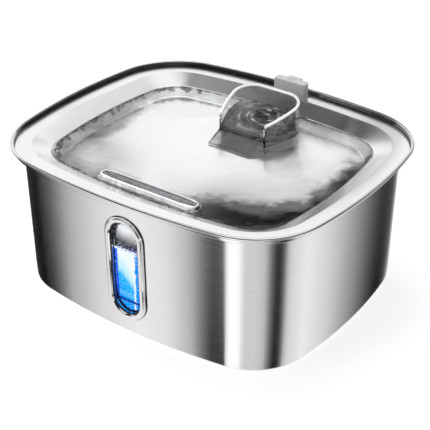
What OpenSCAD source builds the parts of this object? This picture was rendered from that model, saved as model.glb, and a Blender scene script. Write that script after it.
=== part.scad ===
// Pet water fountain: a brushed steel tank with a sight window, a drinking tray,
// a clear spout, an overflow drain, and a submerged pump with its filter.
// Origin: middle of the footprint, on the surface it stands on. The front is -Y.

/* [Tank] */
// Width of the tank body under the rim
tank_w = 280; // [240:1:320]
// Depth of the tank body under the rim
tank_d = 236.2; // [205:1:270]
// Radius of the bulge of the front and back walls
front_bulge_r = 586; // [450:1:900]
// Radius of the bulge of the left and right walls
side_bulge_r = 430; // [350:1:700]
// Radius of the four upright corners
corner_r = 54.6; // [45:0.1:70]
// How far the wall leans in at its foot
wall_taper = 2.1; // [0:0.1:5]
// Height of the step that carries the tray
step_z = 123.5; // [115:0.5:140]
// Thickness of the tank sheet
sheet = 0.8; // [0.6:0.1:1.2]
// Radius of the tank's bottom edge
base_r = 4; // [3:0.1:8]
// Radius of a foot pad
foot_r = 9; // [6:0.5:14]
// Height of a foot pad
foot_h = 1.2; // [0.8:0.1:3]

/* [Rim] */
// Reach of the lip past the body
lip_out = 8.4; // [7:0.1:14]
// Height of the rolled bead's middle over the step
bead_up = 4.1; // [3.5:0.1:8]
// Radius of the rolled bead
bead_r = 1.5; // [1:0.1:2]

/* [Sight window] */
// Place of the window along the front
window_x = 2.5; // [-20:0.5:20]
// Height of the window's middle
window_z = 63; // [60:0.5:64]
// Width of the clear opening
window_w = 27.4; // [20:0.1:34]
// Height of the clear opening
window_h = 83.4; // [60:0.1:86]
// Width of the raised bezel round the opening
bezel_w = 5.2; // [5:0.1:7]
// How far the bezel stands out of the wall
bezel_out = 2.5; // [1.8:0.1:4]

/* [Tray] */
// Thickness of the tray sheet
tray_sheet = 0.7; // [0.5:0.1:1]
// How far the flat ledge reaches in from the body outline
ledge_in = 6.9; // [4:0.1:9]
// Width of the gentle slope below the ledge
slope_w = 15.1; // [8:0.1:17]
// Drop of the gentle slope
slope_drop = 7.5; // [5:0.1:9]
// Depth of the basin floor below the ledge
basin_h = 19.5; // [17:0.1:22]

/* [Spout] */
// Place of the spout, the pump and the clip along the width
spout_x = 2.5; // [-10:0.5:10]
// Place of the upright outlet under the spout
riser_y = 64; // [58:0.5:65]
// Half width of the cup at its widest
cup_half = 32.2; // [28:0.1:36]
// Half width of the cup at its front ends
cup_front_half = 23.6; // [20:0.1:26]
// Place of the cup's front ends
cup_front_y = 40; // [36:0.5:44]
// Place of the cup's back
cup_back_y = 91; // [86:0.5:91]
// Radius of the cup's back corners
cup_corner_r = 18; // [12:0.5:24]
// Wall of the cup
cup_wall = 2; // [1.6:0.1:3]
// Height of the cup's back edge over the basin floor
cup_back_h = 35; // [28:0.5:40]
// Height of the cup's front ends over the basin floor
cup_front_h = 25; // [20:0.5:28]
// Height of the dam that the water runs over
dam_h = 13; // [9:0.5:16]
// Run of the ramp in front of the dam
ramp_run = 20; // [12:0.5:26]
// Half width of the ramp's lip
lip_half = 20.7; // [16:0.1:22]

/* [Drain] */
// Length of the drain collar
drain_w = 94.8; // [70:0.1:100]
// Depth of the drain collar
drain_d = 11.4; // [10:0.1:13]
// Place of the drain's middle
drain_y = -83.4; // [-83.5:0.1:-70]
// Height of the collar over the basin floor
drain_h = 14.2; // [10:0.1:16]
// Reach of the collar's bead
drain_bead = 1.7; // [0.8:0.1:2]

/* [Cable clip] */
// Width of the clip block
clip_w = 32.6; // [26:0.1:40]
// Depth of the clip block
clip_d = 8.8; // [8:0.1:10]
// Height of the clip block
clip_h = 14.8; // [10:0.1:20]
// Width of the bump at the clip's back
clip_bump_w = 14; // [10:0.5:18]
// Radius of the cable passage
cable_r = 2.6; // [2:0.1:3]

/* [Pump] */
// Width of the motor housing
pump_w = 48; // [44:1:54]
// Depth of the motor housing
pump_d = 36; // [34:1:38]
// Height of the motor housing
pump_h = 46; // [44:1:50]
// Wall of the plastic mouldings
shell_t = 2; // [1.5:0.1:2.4]
// Height of the suction cups
cup_foot_h = 4; // [3:0.5:6]
// Radius of the impeller shaft
shaft_r = 1; // [0.8:0.1:1.5]
// Radius of the rotor magnet
magnet_r = 7.5; // [6:0.1:8]
// Radius of the impeller
impeller_r = 12.5; // [10:0.1:13.5]
// Inner radius of the riser tube
riser_bore_r = 7.6; // [6:0.1:8]
// Wall of the riser tube
riser_wall = 1.4; // [1:0.1:2]

/* [Filter] */
// Width of the filter case
case_w = 72; // [60:1:90]
// Depth of the filter case
case_d = 42; // [34:1:46]
// Height of the filter case
case_h = 44; // [42:1:50]

/* [Fits] */
// Clearance between pieces that slide or seat
gap = 0.3; // [0.2:0.05:0.4]
// Running clearance round the shaft
run_gap = 0.05; // [0.03:0.01:0.08]

/* [Hidden] */
$fn = 48;
// Overrun of every cut
over = 1;
half_w = tank_w / 2;
half_d = tank_d / 2;

// Tank levels
base_z = foot_h;
floor_z = base_z + sheet;
under_z = step_z - sheet;
lip_in = lip_out - sheet;
bead_c = lip_out + 0.57 * bead_r;
bead_z = step_z + bead_up;
bend = sheet * 0.6;
wall_lean = atan(wall_taper / (under_z - base_z - base_r));

// Window
frame_t = 1.6;
hole_w = window_w + 2 * frame_t + 2 * gap;
hole_h = window_h + 2 * frame_t + 2 * gap;
bezel_full_w = window_w + 2 * bezel_w;
bezel_full_h = window_h + 2 * bezel_w;
window_reach = abs(window_x) + bezel_full_w / 2;
wall_sag = front_bulge_r - sqrt(front_bulge_r * front_bulge_r - window_reach * window_reach);
gasket_t = 2;
lens_t = 1.5;
retainer_t = 2;
gasket_y = sheet + wall_sag + gap;
lens_y = gasket_y + gasket_t;
retainer_y = lens_y + lens_t;
screw_r = 0.9;
screw_head_r = 1.4;
screw_head_t = 1;
screw_ring = (bezel_w + frame_t) / 2 + gap;
screw_shares = [-1, 0, 1];
lug_shares = [-1, 1];

// Tray levels
ledge_z = step_z + gap + tray_sheet;
basin_z = ledge_z - basin_h;
basin_under_z = basin_z - tray_sheet;
tray_out = lip_in - 2 * gap;
basin_edge = ledge_in + slope_w;
basin_wall_run = 2.6;
basin_fillet = 3.2;

// Spout
nipple_r = riser_bore_r - gap;
nipple_bore_r = nipple_r - cup_wall + gap;
nipple_l = 14;
tray_hole_r = nipple_r + 2 * gap;
seal_r = nipple_r + 2 * cup_wall;
seal_t = 1;
plate_z = basin_z + gap + seal_t;
dam_z = basin_z + dam_h;
cup_front_z = basin_z + cup_front_h;
cup_back_z = basin_z + cup_back_h;
ramp_t = cup_wall * 0.7;
ramp_tip_z = basin_z + gap + ramp_t;

// Drain
drain_wall = 1.6;
spigot_w = drain_w - 2 * drain_wall - gap;
spigot_d = drain_d - 2 * drain_wall - gap;
spigot_l = 6;
spigot_wall = 1.3;
drain_foot_z = basin_z + gap;
drain_top_z = basin_z + drain_h;
drain_bead_z = basin_z + 0.68 * drain_h;
drain_bead_t = 1.4;
shoulder_t = 1.4;
strainer_h = 5;
strainer_t = 1;
strainer_slot = 2;
strainer_pitch = 3.8;

// Cable clip, standing in the tray's notch at the back
clip_front_y = half_d - ledge_in + bend;
clip_z = step_z + gap;
clip_round = 2.4;
clip_bump = 3.8;
notch_w = clip_w + 2 * gap;
grommet_wall = 1;
grommet_y = clip_front_y + cable_r + grommet_wall + 2 * gap;
grommet_r = cable_r + grommet_wall;

// Pump, stacked from the tank floor upward and from the volute backward
pump_z = floor_z + cup_foot_h;
volute_d = 18;
volute_wall = 2.4;
riser_room = 0.5;
pump_y = riser_y + riser_bore_r + riser_wall + riser_room;
pump_back_y = pump_y + pump_d;
axis_up = 21;
axis_z = pump_z + axis_up;
pump_top_z = pump_z + pump_h;
well_gap = 0.8;
well_r = magnet_r + well_gap;
well_wall = 1.4;
well_l = 26;
bush_r = 4;
bush_t = 2;
rotor_play = 0.5;
magnet_y = pump_y + shell_t;
magnet_l = well_l - bush_t - shell_t - rotor_play;
core_w = 32;
core_t = 12;
core_up = 7;
core_h = 36.5;
core_in = 10;
core_y = pump_y + core_in;
core_z = pump_z + core_up;
leg_w = 13;
leg_h = 7;
leg_up = 33;
slot_w = 6;
coil_side = 5.2;
coil_end = 3.6;
chamber_r = impeller_r + well_gap + shell_t / 2;
volute_r = chamber_r + shell_t;
volute_front_y = pump_y - volute_d;
flange_t = 3;
boss_r = 9;
boss_bore_r = 6.6;
boss_l = 9;
boss_front_y = volute_front_y - boss_l;
spoke_w = 2;
outlet_r = riser_bore_r - run_gap;
outlet_bore_r = 5.6;
tube_overlap = 10;
riser_foot_z = pump_top_z + gap;
outlet_top_z = riser_foot_z + tube_overlap;
lug_in = 4.5;
lug_x = pump_w / 2 - lug_in;
lug_z = pump_h / 2 - lug_in;
machine_screw_r = 1.3;
machine_head_r = 2.6;
machine_head_t = 1.8;
machine_screw_l = 9;
post_wall = 1.6;
blade_count = 6;
blade_t = 1.2;
disc_t = 1.4;
blade_h = 9;
hub_r = 4.4;
impeller_back_y = pump_y - gap;
dial_wall = 3;
dial_t = 5.4;
dial_tab_w = 5;
dial_tab_reach = 5;
case_y = boss_front_y + shell_t - case_d;
case_back_y = case_y + case_d;
case_z = floor_z;
riser_top_z = basin_under_z - tube_overlap / 2;
led_w = 28;
led_d = 18;
board_t = 1.2;
lens_h = 7;
led_y = core_y + core_t / 2;
lamp_r = 1.5;
lamp_h = 2;
gland_r = 4;
gland_h = 9;
gland_x = spout_x + pump_w / 2 - gland_r - shell_t - gap;
gland_y = pump_back_y - gland_r - shell_t - gap;
cord_r = 1.8;

// Filter cartridge
frame_gap = 2 * gap;
frame_w = case_w - 2 * shell_t - 2 * frame_gap;
frame_h = case_h - 2 * shell_t - 2 * frame_gap;
frame_front_y = case_y - shell_t;
frame_back_y = case_back_y - shell_t - 2 * gap;
frame_wall = 1.6;
bar_t = 3;
pane_w = (frame_w - 2 * frame_wall - 2 * bar_t) / 3 - 2 * gap;
pane_h = (frame_h - 2 * frame_wall - bar_t) / 2 - 2 * gap;
pad_w = frame_w - 2 * frame_wall - 2 * gap;
pad_h = frame_h - 2 * frame_wall - 2 * gap;
carbon_y = frame_front_y + frame_wall + gap;
carbon_t = 21;
sponge_y = carbon_y + carbon_t + gap;
sponge_t = frame_back_y - frame_wall - gap - sponge_y;
tab_w = 22;
tab_t = 2;
tab_l = 9;

// Plan outline: bulged sides joined by tangent corner arcs, moved out by an offset
quarter_side_steps = 3;
quarter_corner_steps = 10;
c_front = [0, half_d - front_bulge_r];
c_side = [half_w - side_bulge_r, 0];
c_way = c_side - c_front;
c_dist = norm(c_way);
reach_a = front_bulge_r - corner_r;
reach_b = side_bulge_r - corner_r;
along = (reach_a * reach_a - reach_b * reach_b + c_dist * c_dist) / (2 * c_dist);
aside = sqrt(reach_a * reach_a - along * along);
c_corner = c_front + along * c_way / c_dist + aside * [c_way[1], -c_way[0]] / c_dist;
side_end = atan2(c_corner[1] - c_side[1], c_corner[0] - c_side[0]);
front_end = atan2(c_corner[1] - c_front[1], c_corner[0] - c_front[0]);

function arc(c, r, from, to, steps) =
    [for (i = [0:steps - 1]) c + r * [cos(from + (to - from) * i / steps), sin(from + (to - from) * i / steps)]];
function quarter(off) = concat(
    arc(c_side, side_bulge_r + off, 0, side_end, quarter_side_steps),
    arc(c_corner, corner_r + off, side_end, front_end, quarter_corner_steps),
    arc(c_front, front_bulge_r + off, front_end, 90, quarter_side_steps));
function reversed(list) = [for (i = [len(list) - 1:-1:0]) list[i]];
function flipped(list, sx, sy) = [for (p = list) [p[0] * sx, p[1] * sy]];
function tail(list) = [for (i = [1:len(list) - 1]) list[i]];
function outline(off) = let(
        q = quarter(off),
        top = [0, half_d + off],
        right = tail(q))
    concat(q, [top], flipped(reversed(right), -1, 1), [[-half_w - off, 0]],
        flipped(right, -1, -1), [-top], flipped(reversed(right), 1, -1));

// Lays the plan outline at each offset and height of a profile and joins the rings
module ring_sweep(profile) {
    count = len(outline(0));
    rings = [for (p = profile) for (q = outline(p[0])) [q[0], q[1], p[1]]];
    last = (len(profile) - 1) * count;
    walls = [for (k = [0:len(profile) - 2]) for (i = [0:count - 1]) let(
            a = k * count + i,
            b = k * count + (i + 1) % count)
        each [[a, a + count, b + count], [a, b + count, b]]];
    floors = [[for (i = [0:count - 1]) i], [for (i = [count - 1:-1:0]) last + i]];
    polyhedron(points = rings, faces = concat(walls, floors), convexity = 8);
}

// Moves a profile to its other face, a sheet thickness below or inside
function normal(a, b) = let(d = (b - a) / norm(b - a)) [-d[1], d[0]];
function skin(path, t) = [for (i = [0:len(path) - 1]) let(
        n1 = normal(path[max(i - 1, 0)], path[max(i, 1)]),
        n2 = normal(path[min(i, len(path) - 2)], path[min(i + 1, len(path) - 1)]),
        n = n1 + n2)
    path[i] + t * n * 2 / (n * n)];

// A flat racetrack that stands on its long axis or lies along it
module racetrack(w, h) {
    r = min(w, h) / 2;
    run = abs(w - h) / 2;
    turn = w > h ? 0 : 90;
    rotate(turn) {
        for (s = [-1, 1]) translate([s * run, 0]) circle(r = r);
        square([2 * run, 2 * r], center = true);
    }
}

module racetrack_tube(w, h, wall, tall) {
    linear_extrude(tall) difference() {
        racetrack(w, h);
        racetrack(w - 2 * wall, h - 2 * wall);
    }
}

// A box centred on x and y
module block(w, d, h) {
    translate([-w / 2, -d / 2, 0]) cube([w, d, h]);
}

// A cylinder along +Y from the start point
module rod_y(r, l) {
    rotate([-90, 0, 0]) cylinder(r = r, h = l);
}

// Tank: bottom, wall, step, upright lip and rolled bead
base_steps = 4;
bead_steps = 8;
tank_outside = concat(
    [for (i = [0:base_steps]) let(a = 90 * i / base_steps)
        [-wall_taper - base_r + base_r * sin(a), base_z + base_r - base_r * cos(a)]],
    [[0, under_z - bend], [bend, under_z], [lip_out - bend, under_z], [lip_out, under_z + bend]],
    [for (i = [0:bead_steps]) let(a = -110 + 280 * i / bead_steps)
        [bead_c + bead_r * cos(a), bead_z + bead_r * sin(a)]]);
tank_inside = concat(
    [[lip_in, bead_z], [lip_in, step_z + bend], [lip_in - bend, step_z], [bend - sheet, step_z],
        [-sheet, step_z - bend - sheet]],
    [for (i = [base_steps:-1:0]) let(a = 90 * i / base_steps)
        [-wall_taper - base_r + (base_r - sheet) * sin(a), base_z + base_r - (base_r - sheet) * cos(a)]]);

// Puts a child on the leaning front wall: its own -Y points out of the window
module on_window() {
    translate([window_x, -half_d + wall_taper * (under_z - window_z) / (under_z - base_z - base_r), window_z])
        rotate([wall_lean, 0, 0]) children();
}

// A racetrack plate in the window's plane, from y0 to y1
module window_plate(w, h, y0, y1) {
    translate([0, y1, 0]) rotate([90, 0, 0]) linear_extrude(y1 - y0) racetrack(w, h);
}

module window_ring(w, h, hole_w, hole_h, y0, y1) {
    difference() {
        window_plate(w, h, y0, y1);
        window_plate(hole_w, hole_h, y0 - over, y1 + over);
    }
}

// Places of the window's screws, round the opening
module at_screws() {
    for (side = [-1, 1]) for (s = screw_shares)
        translate([side * (window_w / 2 + screw_ring), 0, s * (window_h - window_w) / 2]) children();
}

module screw_holes(r, y0, y1) {
    at_screws() translate([0, y0, 0]) rod_y(r, y1 - y0);
}

module tank_shell() {
    color("gainsboro") difference() {
        ring_sweep(concat(tank_outside, tank_inside));
        on_window() {
            window_plate(hole_w, hole_h, -bezel_out, base_r);
            screw_holes(screw_r + gap / 2, -bezel_out, base_r);
        }
    }
}

module window_bezel() {
    color("white") on_window() difference() {
        union() {
            window_ring(bezel_full_w, bezel_full_h, window_w, window_h, -bezel_out, -run_gap);
            window_ring(hole_w - 2 * gap, hole_h - 2 * gap, window_w, window_h, -bezel_out, lens_y - gap / 2);
        }
        screw_holes(screw_r + run_gap, -bezel_out + screw_head_t, lens_y);
    }
}

module window_gasket() {
    color("dimgray") on_window() difference() {
        window_ring(bezel_full_w, bezel_full_h, hole_w, hole_h, gasket_y, lens_y);
        screw_holes(screw_r + gap / 2, gasket_y - over, lens_y + over);
    }
}

module window_lens() {
    color([0.6, 0.8, 1, 0.5]) on_window() difference() {
        union() {
            window_plate(window_w - 2 * gap, window_h - 2 * gap, -bezel_out / 2, lens_y + run_gap);
            window_plate(bezel_full_w, bezel_full_h, lens_y, retainer_y);
        }
        screw_holes(screw_r + gap / 2, lens_y - over, retainer_y + over);
    }
}

module window_retainer() {
    color("silver") on_window() difference() {
        window_ring(bezel_full_w, bezel_full_h, window_w, window_h, retainer_y, retainer_y + retainer_t);
        screw_holes(screw_r + gap / 2, retainer_y - over, retainer_y + retainer_t + over);
    }
}

module window_screws() {
    color("silver") on_window() at_screws() {
        translate([0, -bezel_out + screw_head_t + gap, 0])
            rod_y(screw_r, bezel_out - screw_head_t - gap + retainer_y + retainer_t + run_gap);
        translate([0, retainer_y + retainer_t, 0]) rod_y(screw_head_r, screw_head_t);
    }
}

foot_share = 0.68;
module tank_feet() {
    color("dimgray") for (sx = [-1, 1]) for (sy = [-1, 1])
        translate([sx * foot_share * half_w, sy * foot_share * half_d, 0]) cylinder(r = foot_r, h = foot_h);
}

// Drinking tray: ledge, gentle slope, steep wall and basin floor
ledge_round = 1.6;
ledge_fall = slope_drop * ledge_round / slope_w;
tray_top = [
    [tray_out, ledge_z],
    [ledge_round / 2 - ledge_in, ledge_z],
    [-ledge_in - ledge_round / 2, ledge_z - ledge_fall],
    [-basin_edge, ledge_z - slope_drop],
    [-basin_edge - basin_wall_run / 2, ledge_z - slope_drop - basin_wall_run],
    [-basin_edge - basin_wall_run, basin_z + basin_fillet],
    [-basin_edge - basin_wall_run - 0.3 * basin_fillet, basin_z + 0.3 * basin_fillet],
    [-basin_edge - basin_wall_run - basin_fillet, basin_z]
];

module drinking_tray() {
    color("gainsboro") difference() {
        ring_sweep(concat(reversed(skin(tray_top, tray_sheet)), tray_top));
        translate([spout_x - notch_w / 2, clip_front_y - gap, basin_z])
            cube([notch_w, half_d, basin_h + over]);
        translate([spout_x, riser_y, basin_under_z - over]) cylinder(r = tray_hole_r, h = tray_sheet + 2 * over);
        translate([0, drain_y, basin_under_z - over])
            linear_extrude(tray_sheet + 2 * over) racetrack(spigot_w + 2 * gap, spigot_d + 2 * gap);
    }
}

// Half plan of the cup: front end, bulging side and back corner, moved in by an inset
side_steps = 5;
corner_steps = 8;
function cup_half_plan(inset) = let(
        p0 = [cup_front_half - inset, cup_front_y],
        p2 = [cup_half - inset, cup_back_y - cup_corner_r],
        p1 = [cup_half - 0.1 * cup_corner_r - inset, (p0[1] + p2[1]) / 2],
        c = [cup_half - cup_corner_r, cup_back_y - cup_corner_r])
    concat(
        [for (i = [0:side_steps - 1]) let(t = i / side_steps)
            (1 - t) * (1 - t) * p0 + 2 * t * (1 - t) * p1 + t * t * p2],
        arc(c, cup_corner_r - inset, 0, 90, corner_steps),
        [[c[0], cup_back_y - inset]]);
module cup_plan(inset) {
    plan = cup_half_plan(inset);
    polygon(concat(plan, flipped(reversed(plan), -1, 1)));
}

module spout() {
    rim_tilt = atan((cup_back_z - cup_front_z) / (cup_back_y - cup_front_y));
    color([0.8, 0.85, 0.9, 0.5]) translate([spout_x, 0, 0]) difference() {
        union() {
            // Wall, sloping down to the front
            difference() {
                translate([0, 0, plate_z]) linear_extrude(cup_back_z - plate_z + over) difference() {
                    cup_plan(0);
                    cup_plan(cup_wall);
                    translate([cup_wall - cup_front_half, cup_front_y - over])
                        square([2 * (cup_front_half - cup_wall), 2 * over]);
                }
                translate([0, cup_front_y, cup_front_z]) rotate([rim_tilt, 0, 0])
                    translate([-2 * cup_half, -cup_back_y, 0]) cube([4 * cup_half, 3 * cup_back_y, 2 * cup_back_h]);
            }
            // Base plate and dam
            translate([0, 0, plate_z]) linear_extrude(cup_wall) cup_plan(0);
            translate([cup_wall / 2 - cup_front_half, cup_front_y, plate_z])
                cube([2 * cup_front_half - cup_wall, cup_wall, dam_z - plate_z]);
            // Ramp from the dam's top down to the lip
            ramp();
            translate([0, riser_y, plate_z - nipple_l]) cylinder(r = nipple_r, h = nipple_l + over);
        }
        translate([0, riser_y, plate_z - nipple_l - over]) cylinder(r = nipple_bore_r, h = nipple_l + cup_wall + 2 * over);
    }
}

// The ramp's side view, drawn in y and z and laid across the spout
module ramp() {
    top = [[0, dam_z - plate_z], [-ramp_run, ramp_tip_z - plate_z]];
    translate([0, cup_front_y, plate_z]) rotate([90, 0, 90]) translate([0, 0, -lip_half])
        linear_extrude(2 * lip_half) polygon([
            top[0] + [over, 0], top[0], top[1], top[1] - [0, ramp_t], top[0] - [0, 2 * ramp_t],
            top[0] + [over, -2 * ramp_t]]);
}

module spout_seal() {
    color("whitesmoke") translate([spout_x, riser_y, plate_z - seal_t]) difference() {
        cylinder(r = seal_r, h = seal_t);
        translate([0, 0, -over]) cylinder(r = nipple_r, h = seal_t + 2 * over);
    }
}

module drain_insert() {
    color([0.8, 0.85, 0.9, 0.5]) translate([0, drain_y, 0]) {
        translate([0, 0, drain_foot_z]) racetrack_tube(drain_w, drain_d, drain_wall, drain_top_z - drain_foot_z);
        translate([0, 0, drain_bead_z])
            racetrack_tube(drain_w + 2 * drain_bead, drain_d + 2 * drain_bead, drain_bead + drain_wall / 2, drain_bead_t);
        translate([0, 0, drain_foot_z])
            racetrack_tube(drain_w - drain_wall, drain_d - drain_wall, (drain_w - drain_wall - spigot_w) / 2 + spigot_wall,
                shoulder_t);
        translate([0, 0, drain_foot_z - spigot_l])
            racetrack_tube(spigot_w, spigot_d, spigot_wall, spigot_l + shoulder_t / 2);
    }
}

strainer_w = drain_w - 2 * drain_wall - 2 * gap;
strainer_d = drain_d - 2 * drain_wall - 2 * gap;
module drain_strainer() {
    count = floor((strainer_w - strainer_d) / strainer_pitch);
    color("slategray") translate([0, drain_y, drain_foot_z + shoulder_t]) {
        racetrack_tube(strainer_w, strainer_d, strainer_t, strainer_h);
        translate([0, 0, strainer_h - strainer_t]) difference() {
            linear_extrude(strainer_t) racetrack(strainer_w, strainer_d);
            for (i = [0:count])
                translate([(i - count / 2) * strainer_pitch, 0, -over])
                    block(strainer_slot, strainer_d - 4 * strainer_t, strainer_t + 2 * over);
        }
    }
}

module cable_clip() {
    color("lightgray") translate([spout_x, clip_front_y, clip_z]) difference() {
        linear_extrude(clip_h) union() {
            for (s = [-1, 1]) {
                translate([s * (clip_w / 2 - clip_round), clip_round]) circle(r = clip_round);
                translate([s * (clip_w / 2 - clip_d / 2), clip_d / 2]) circle(r = clip_d / 2);
            }
            translate([-clip_w / 2 + clip_round, 0]) square([clip_w - 2 * clip_round, clip_d / 2]);
            translate([-clip_w / 2, clip_round]) square([clip_w, clip_d / 2 - clip_round]);
            translate([-clip_w / 2 + clip_d / 2, 0]) square([clip_w - clip_d, clip_d]);
            translate([-clip_bump_w / 2, clip_d / 2]) square([clip_bump_w, clip_d / 2 + clip_bump - clip_round]);
            for (s = [-1, 1]) translate([s * (clip_bump_w / 2 - clip_round), clip_d + clip_bump - clip_round])
                circle(r = clip_round);
            translate([clip_round - clip_bump_w / 2, clip_d]) square([clip_bump_w - 2 * clip_round, clip_bump]);
        }
        translate([0, grommet_y - clip_front_y, -over]) cylinder(r = grommet_r, h = clip_h + 2 * over);
    }
}

module clip_grommet() {
    color("gray") translate([spout_x, grommet_y, clip_z]) difference() {
        cylinder(r = grommet_r, h = clip_h - grommet_wall);
        translate([0, 0, -over]) cylinder(r = cable_r, h = clip_h + 2 * over);
    }
}

// Places of the four screws, seen along the pump's axis
module at_lugs(y) {
    for (sx = lug_shares) for (sz = lug_shares)
        translate([spout_x + sx * lug_x, y, pump_z + pump_h / 2 + sz * lug_z]) children();
}

// A box standing on the pump's middle line: width, depth and height from a front face and a foot
module pump_box(w, y0, y1, z0, z1) {
    translate([spout_x - w / 2, y0, z0]) cube([w, y1 - y0, z1 - z0]);
}

// A cylinder on the shaft's axis
module on_axis(r, y0, y1) {
    translate([spout_x, y0, axis_z]) rod_y(r, y1 - y0);
}

module pump_housing() {
    color("dimgray") difference() {
        union() {
            difference() {
                pump_box(pump_w, pump_y, pump_back_y, pump_z, pump_top_z);
                pump_box(pump_w - 2 * shell_t, pump_y + shell_t, pump_back_y + over,
                    pump_z + shell_t, pump_top_z - shell_t);
            }
            on_axis(well_r + well_wall, pump_y, pump_y + well_l + well_wall);
            at_lugs(pump_y) rod_y(machine_screw_r + post_wall, pump_d);
        }
        on_axis(well_r, pump_y - over, pump_y + well_l);
        at_lugs(pump_y - over) rod_y(machine_screw_r + run_gap, machine_screw_l + over);
        at_lugs(pump_back_y - machine_screw_l) rod_y(machine_screw_r + run_gap, machine_screw_l + over);
        translate([gland_x, gland_y, pump_top_z - shell_t - over])
            cylinder(r = gland_r - shell_t / 2, h = shell_t + 2 * over);
    }
}

module housing_cover() {
    color("dimgray") difference() {
        pump_box(pump_w, pump_back_y, pump_back_y + shell_t, pump_z, pump_top_z);
        at_lugs(pump_back_y - over) rod_y(machine_screw_r + gap, shell_t + 2 * over);
    }
}

module cover_screws() {
    color("silver") at_lugs(pump_back_y + shell_t) {
        rod_y(machine_head_r, machine_head_t);
        translate([0, -machine_screw_l + 2 * gap, 0]) rod_y(machine_screw_r, machine_screw_l);
    }
}

cup_in = 9;
cup_r = 7;
cup_stem_r = 3;
module suction_cups() {
    color("whitesmoke") for (sx = lug_shares) for (sy = lug_shares)
        translate([spout_x + sx * (pump_w / 2 - cup_in), pump_y + pump_d / 2 + sy * (pump_d / 2 - cup_in), floor_z])
            rotate_extrude() polygon([
                [0, cup_foot_h / 4], [cup_r * 0.6, cup_foot_h / 8], [cup_r, 0], [cup_stem_r, cup_foot_h / 2],
                [cup_stem_r, cup_foot_h], [0, cup_foot_h]]);
}

// Laminated core round the rotor well, with one leg that carries the coil
module stator_core() {
    color("slategray") difference() {
        pump_box(core_w, core_y, core_y + core_t, core_z, core_z + core_h);
        on_axis(well_r + well_wall + gap, core_y - over, core_y + core_t + over);
        for (s = lug_shares) translate([s * (leg_w + slot_w) / 2, 0, 0])
            pump_box(slot_w, core_y - over, core_y + core_t + over, pump_z + leg_up, pump_z + leg_up + leg_h);
    }
}

module stator_coil() {
    color("peru") difference() {
        pump_box(leg_w + 2 * coil_side, core_y - coil_end, core_y + core_t + coil_end,
            pump_z + leg_up + gap, pump_z + leg_up + leg_h - gap);
        pump_box(leg_w + 2 * gap, core_y - gap, core_y + core_t + gap, pump_z + leg_up, pump_z + leg_up + leg_h);
    }
}

module impeller() {
    front_y = impeller_back_y - disc_t - blade_h;
    color("whitesmoke") difference() {
        union() {
            on_axis(impeller_r, impeller_back_y - disc_t, impeller_back_y);
            on_axis(hub_r, front_y, magnet_y);
            for (i = [0:blade_count - 1]) translate([spout_x, front_y, axis_z]) rotate([0, 360 * i / blade_count, 0])
                translate([shaft_r + run_gap + well_gap, 0, -blade_t / 2])
                    cube([impeller_r - shaft_r - 2 * well_gap, blade_h + disc_t / 2, blade_t]);
        }
        on_axis(shaft_r + run_gap, front_y - over, magnet_y + over);
    }
}

module rotor_magnet() {
    color("darkslategray") difference() {
        on_axis(magnet_r, magnet_y, magnet_y + magnet_l);
        on_axis(shaft_r + run_gap, magnet_y - over, magnet_y + magnet_l + over);
    }
}

module impeller_shaft() {
    color("white") on_axis(shaft_r, volute_front_y + shell_t / 2, pump_y + well_l - run_gap);
}

module shaft_bushes() {
    color("dimgray") for (y = [volute_front_y + volute_wall, pump_y + well_l - bush_t]) difference() {
        on_axis(bush_r - gap, y, y + bush_t);
        on_axis(shaft_r + run_gap / 2, y - over, y + bush_t + over);
    }
}

// Impeller chamber with its flange, inlet boss and upright outlet
module volute_cover() {
    color("gray") difference() {
        union() {
            pump_box(pump_w, pump_y - flange_t, pump_y, pump_z + shell_t, pump_top_z);
            on_axis(volute_r, volute_front_y, pump_y);
            on_axis(boss_r, boss_front_y, volute_front_y + shell_t);
            translate([spout_x, riser_y, axis_z]) cylinder(r = outlet_r, h = outlet_top_z - axis_z);
        }
        on_axis(chamber_r, volute_front_y + volute_wall, pump_y + over);
        translate([spout_x, riser_y, axis_z]) cylinder(r = outlet_bore_r, h = outlet_top_z);
        difference() {
            on_axis(boss_bore_r, boss_front_y - over, volute_front_y + volute_wall + over);
            inlet_spider();
        }
        boss_windows();
        at_lugs(pump_y - flange_t - over) rod_y(machine_screw_r + gap, flange_t + 2 * over);
    }
}

// Three spokes and a hub that hold the front end of the shaft
module inlet_spider() {
    difference() {
        union() {
            on_axis(bush_r, volute_front_y, volute_front_y + volute_wall);
            for (i = [0:2]) translate([spout_x, volute_front_y, axis_z]) rotate([0, 120 * i, 0])
                translate([0, 0, -spoke_w / 2]) cube([boss_r, volute_wall, spoke_w]);
        }
        on_axis(shaft_r + run_gap / 2, volute_front_y - over, volute_front_y + volute_wall + over);
    }
}

// Two side windows that the flow regulator opens and shuts
module boss_windows() {
    mid_y = (boss_front_y + shell_t + volute_front_y) / 2;
    for (s = [0, 180]) translate([spout_x, mid_y, axis_z]) rotate([0, s, 0])
        translate([0, -dial_t / 4, -boss_r / 4]) cube([boss_r + over, dial_t / 2, boss_r / 2]);
}

module volute_screws() {
    color("silver") at_lugs(pump_y - flange_t) {
        translate([0, -machine_head_t, 0]) rod_y(machine_head_r, machine_head_t);
        rod_y(machine_screw_r, machine_screw_l + flange_t - 2 * gap);
    }
}

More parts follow.
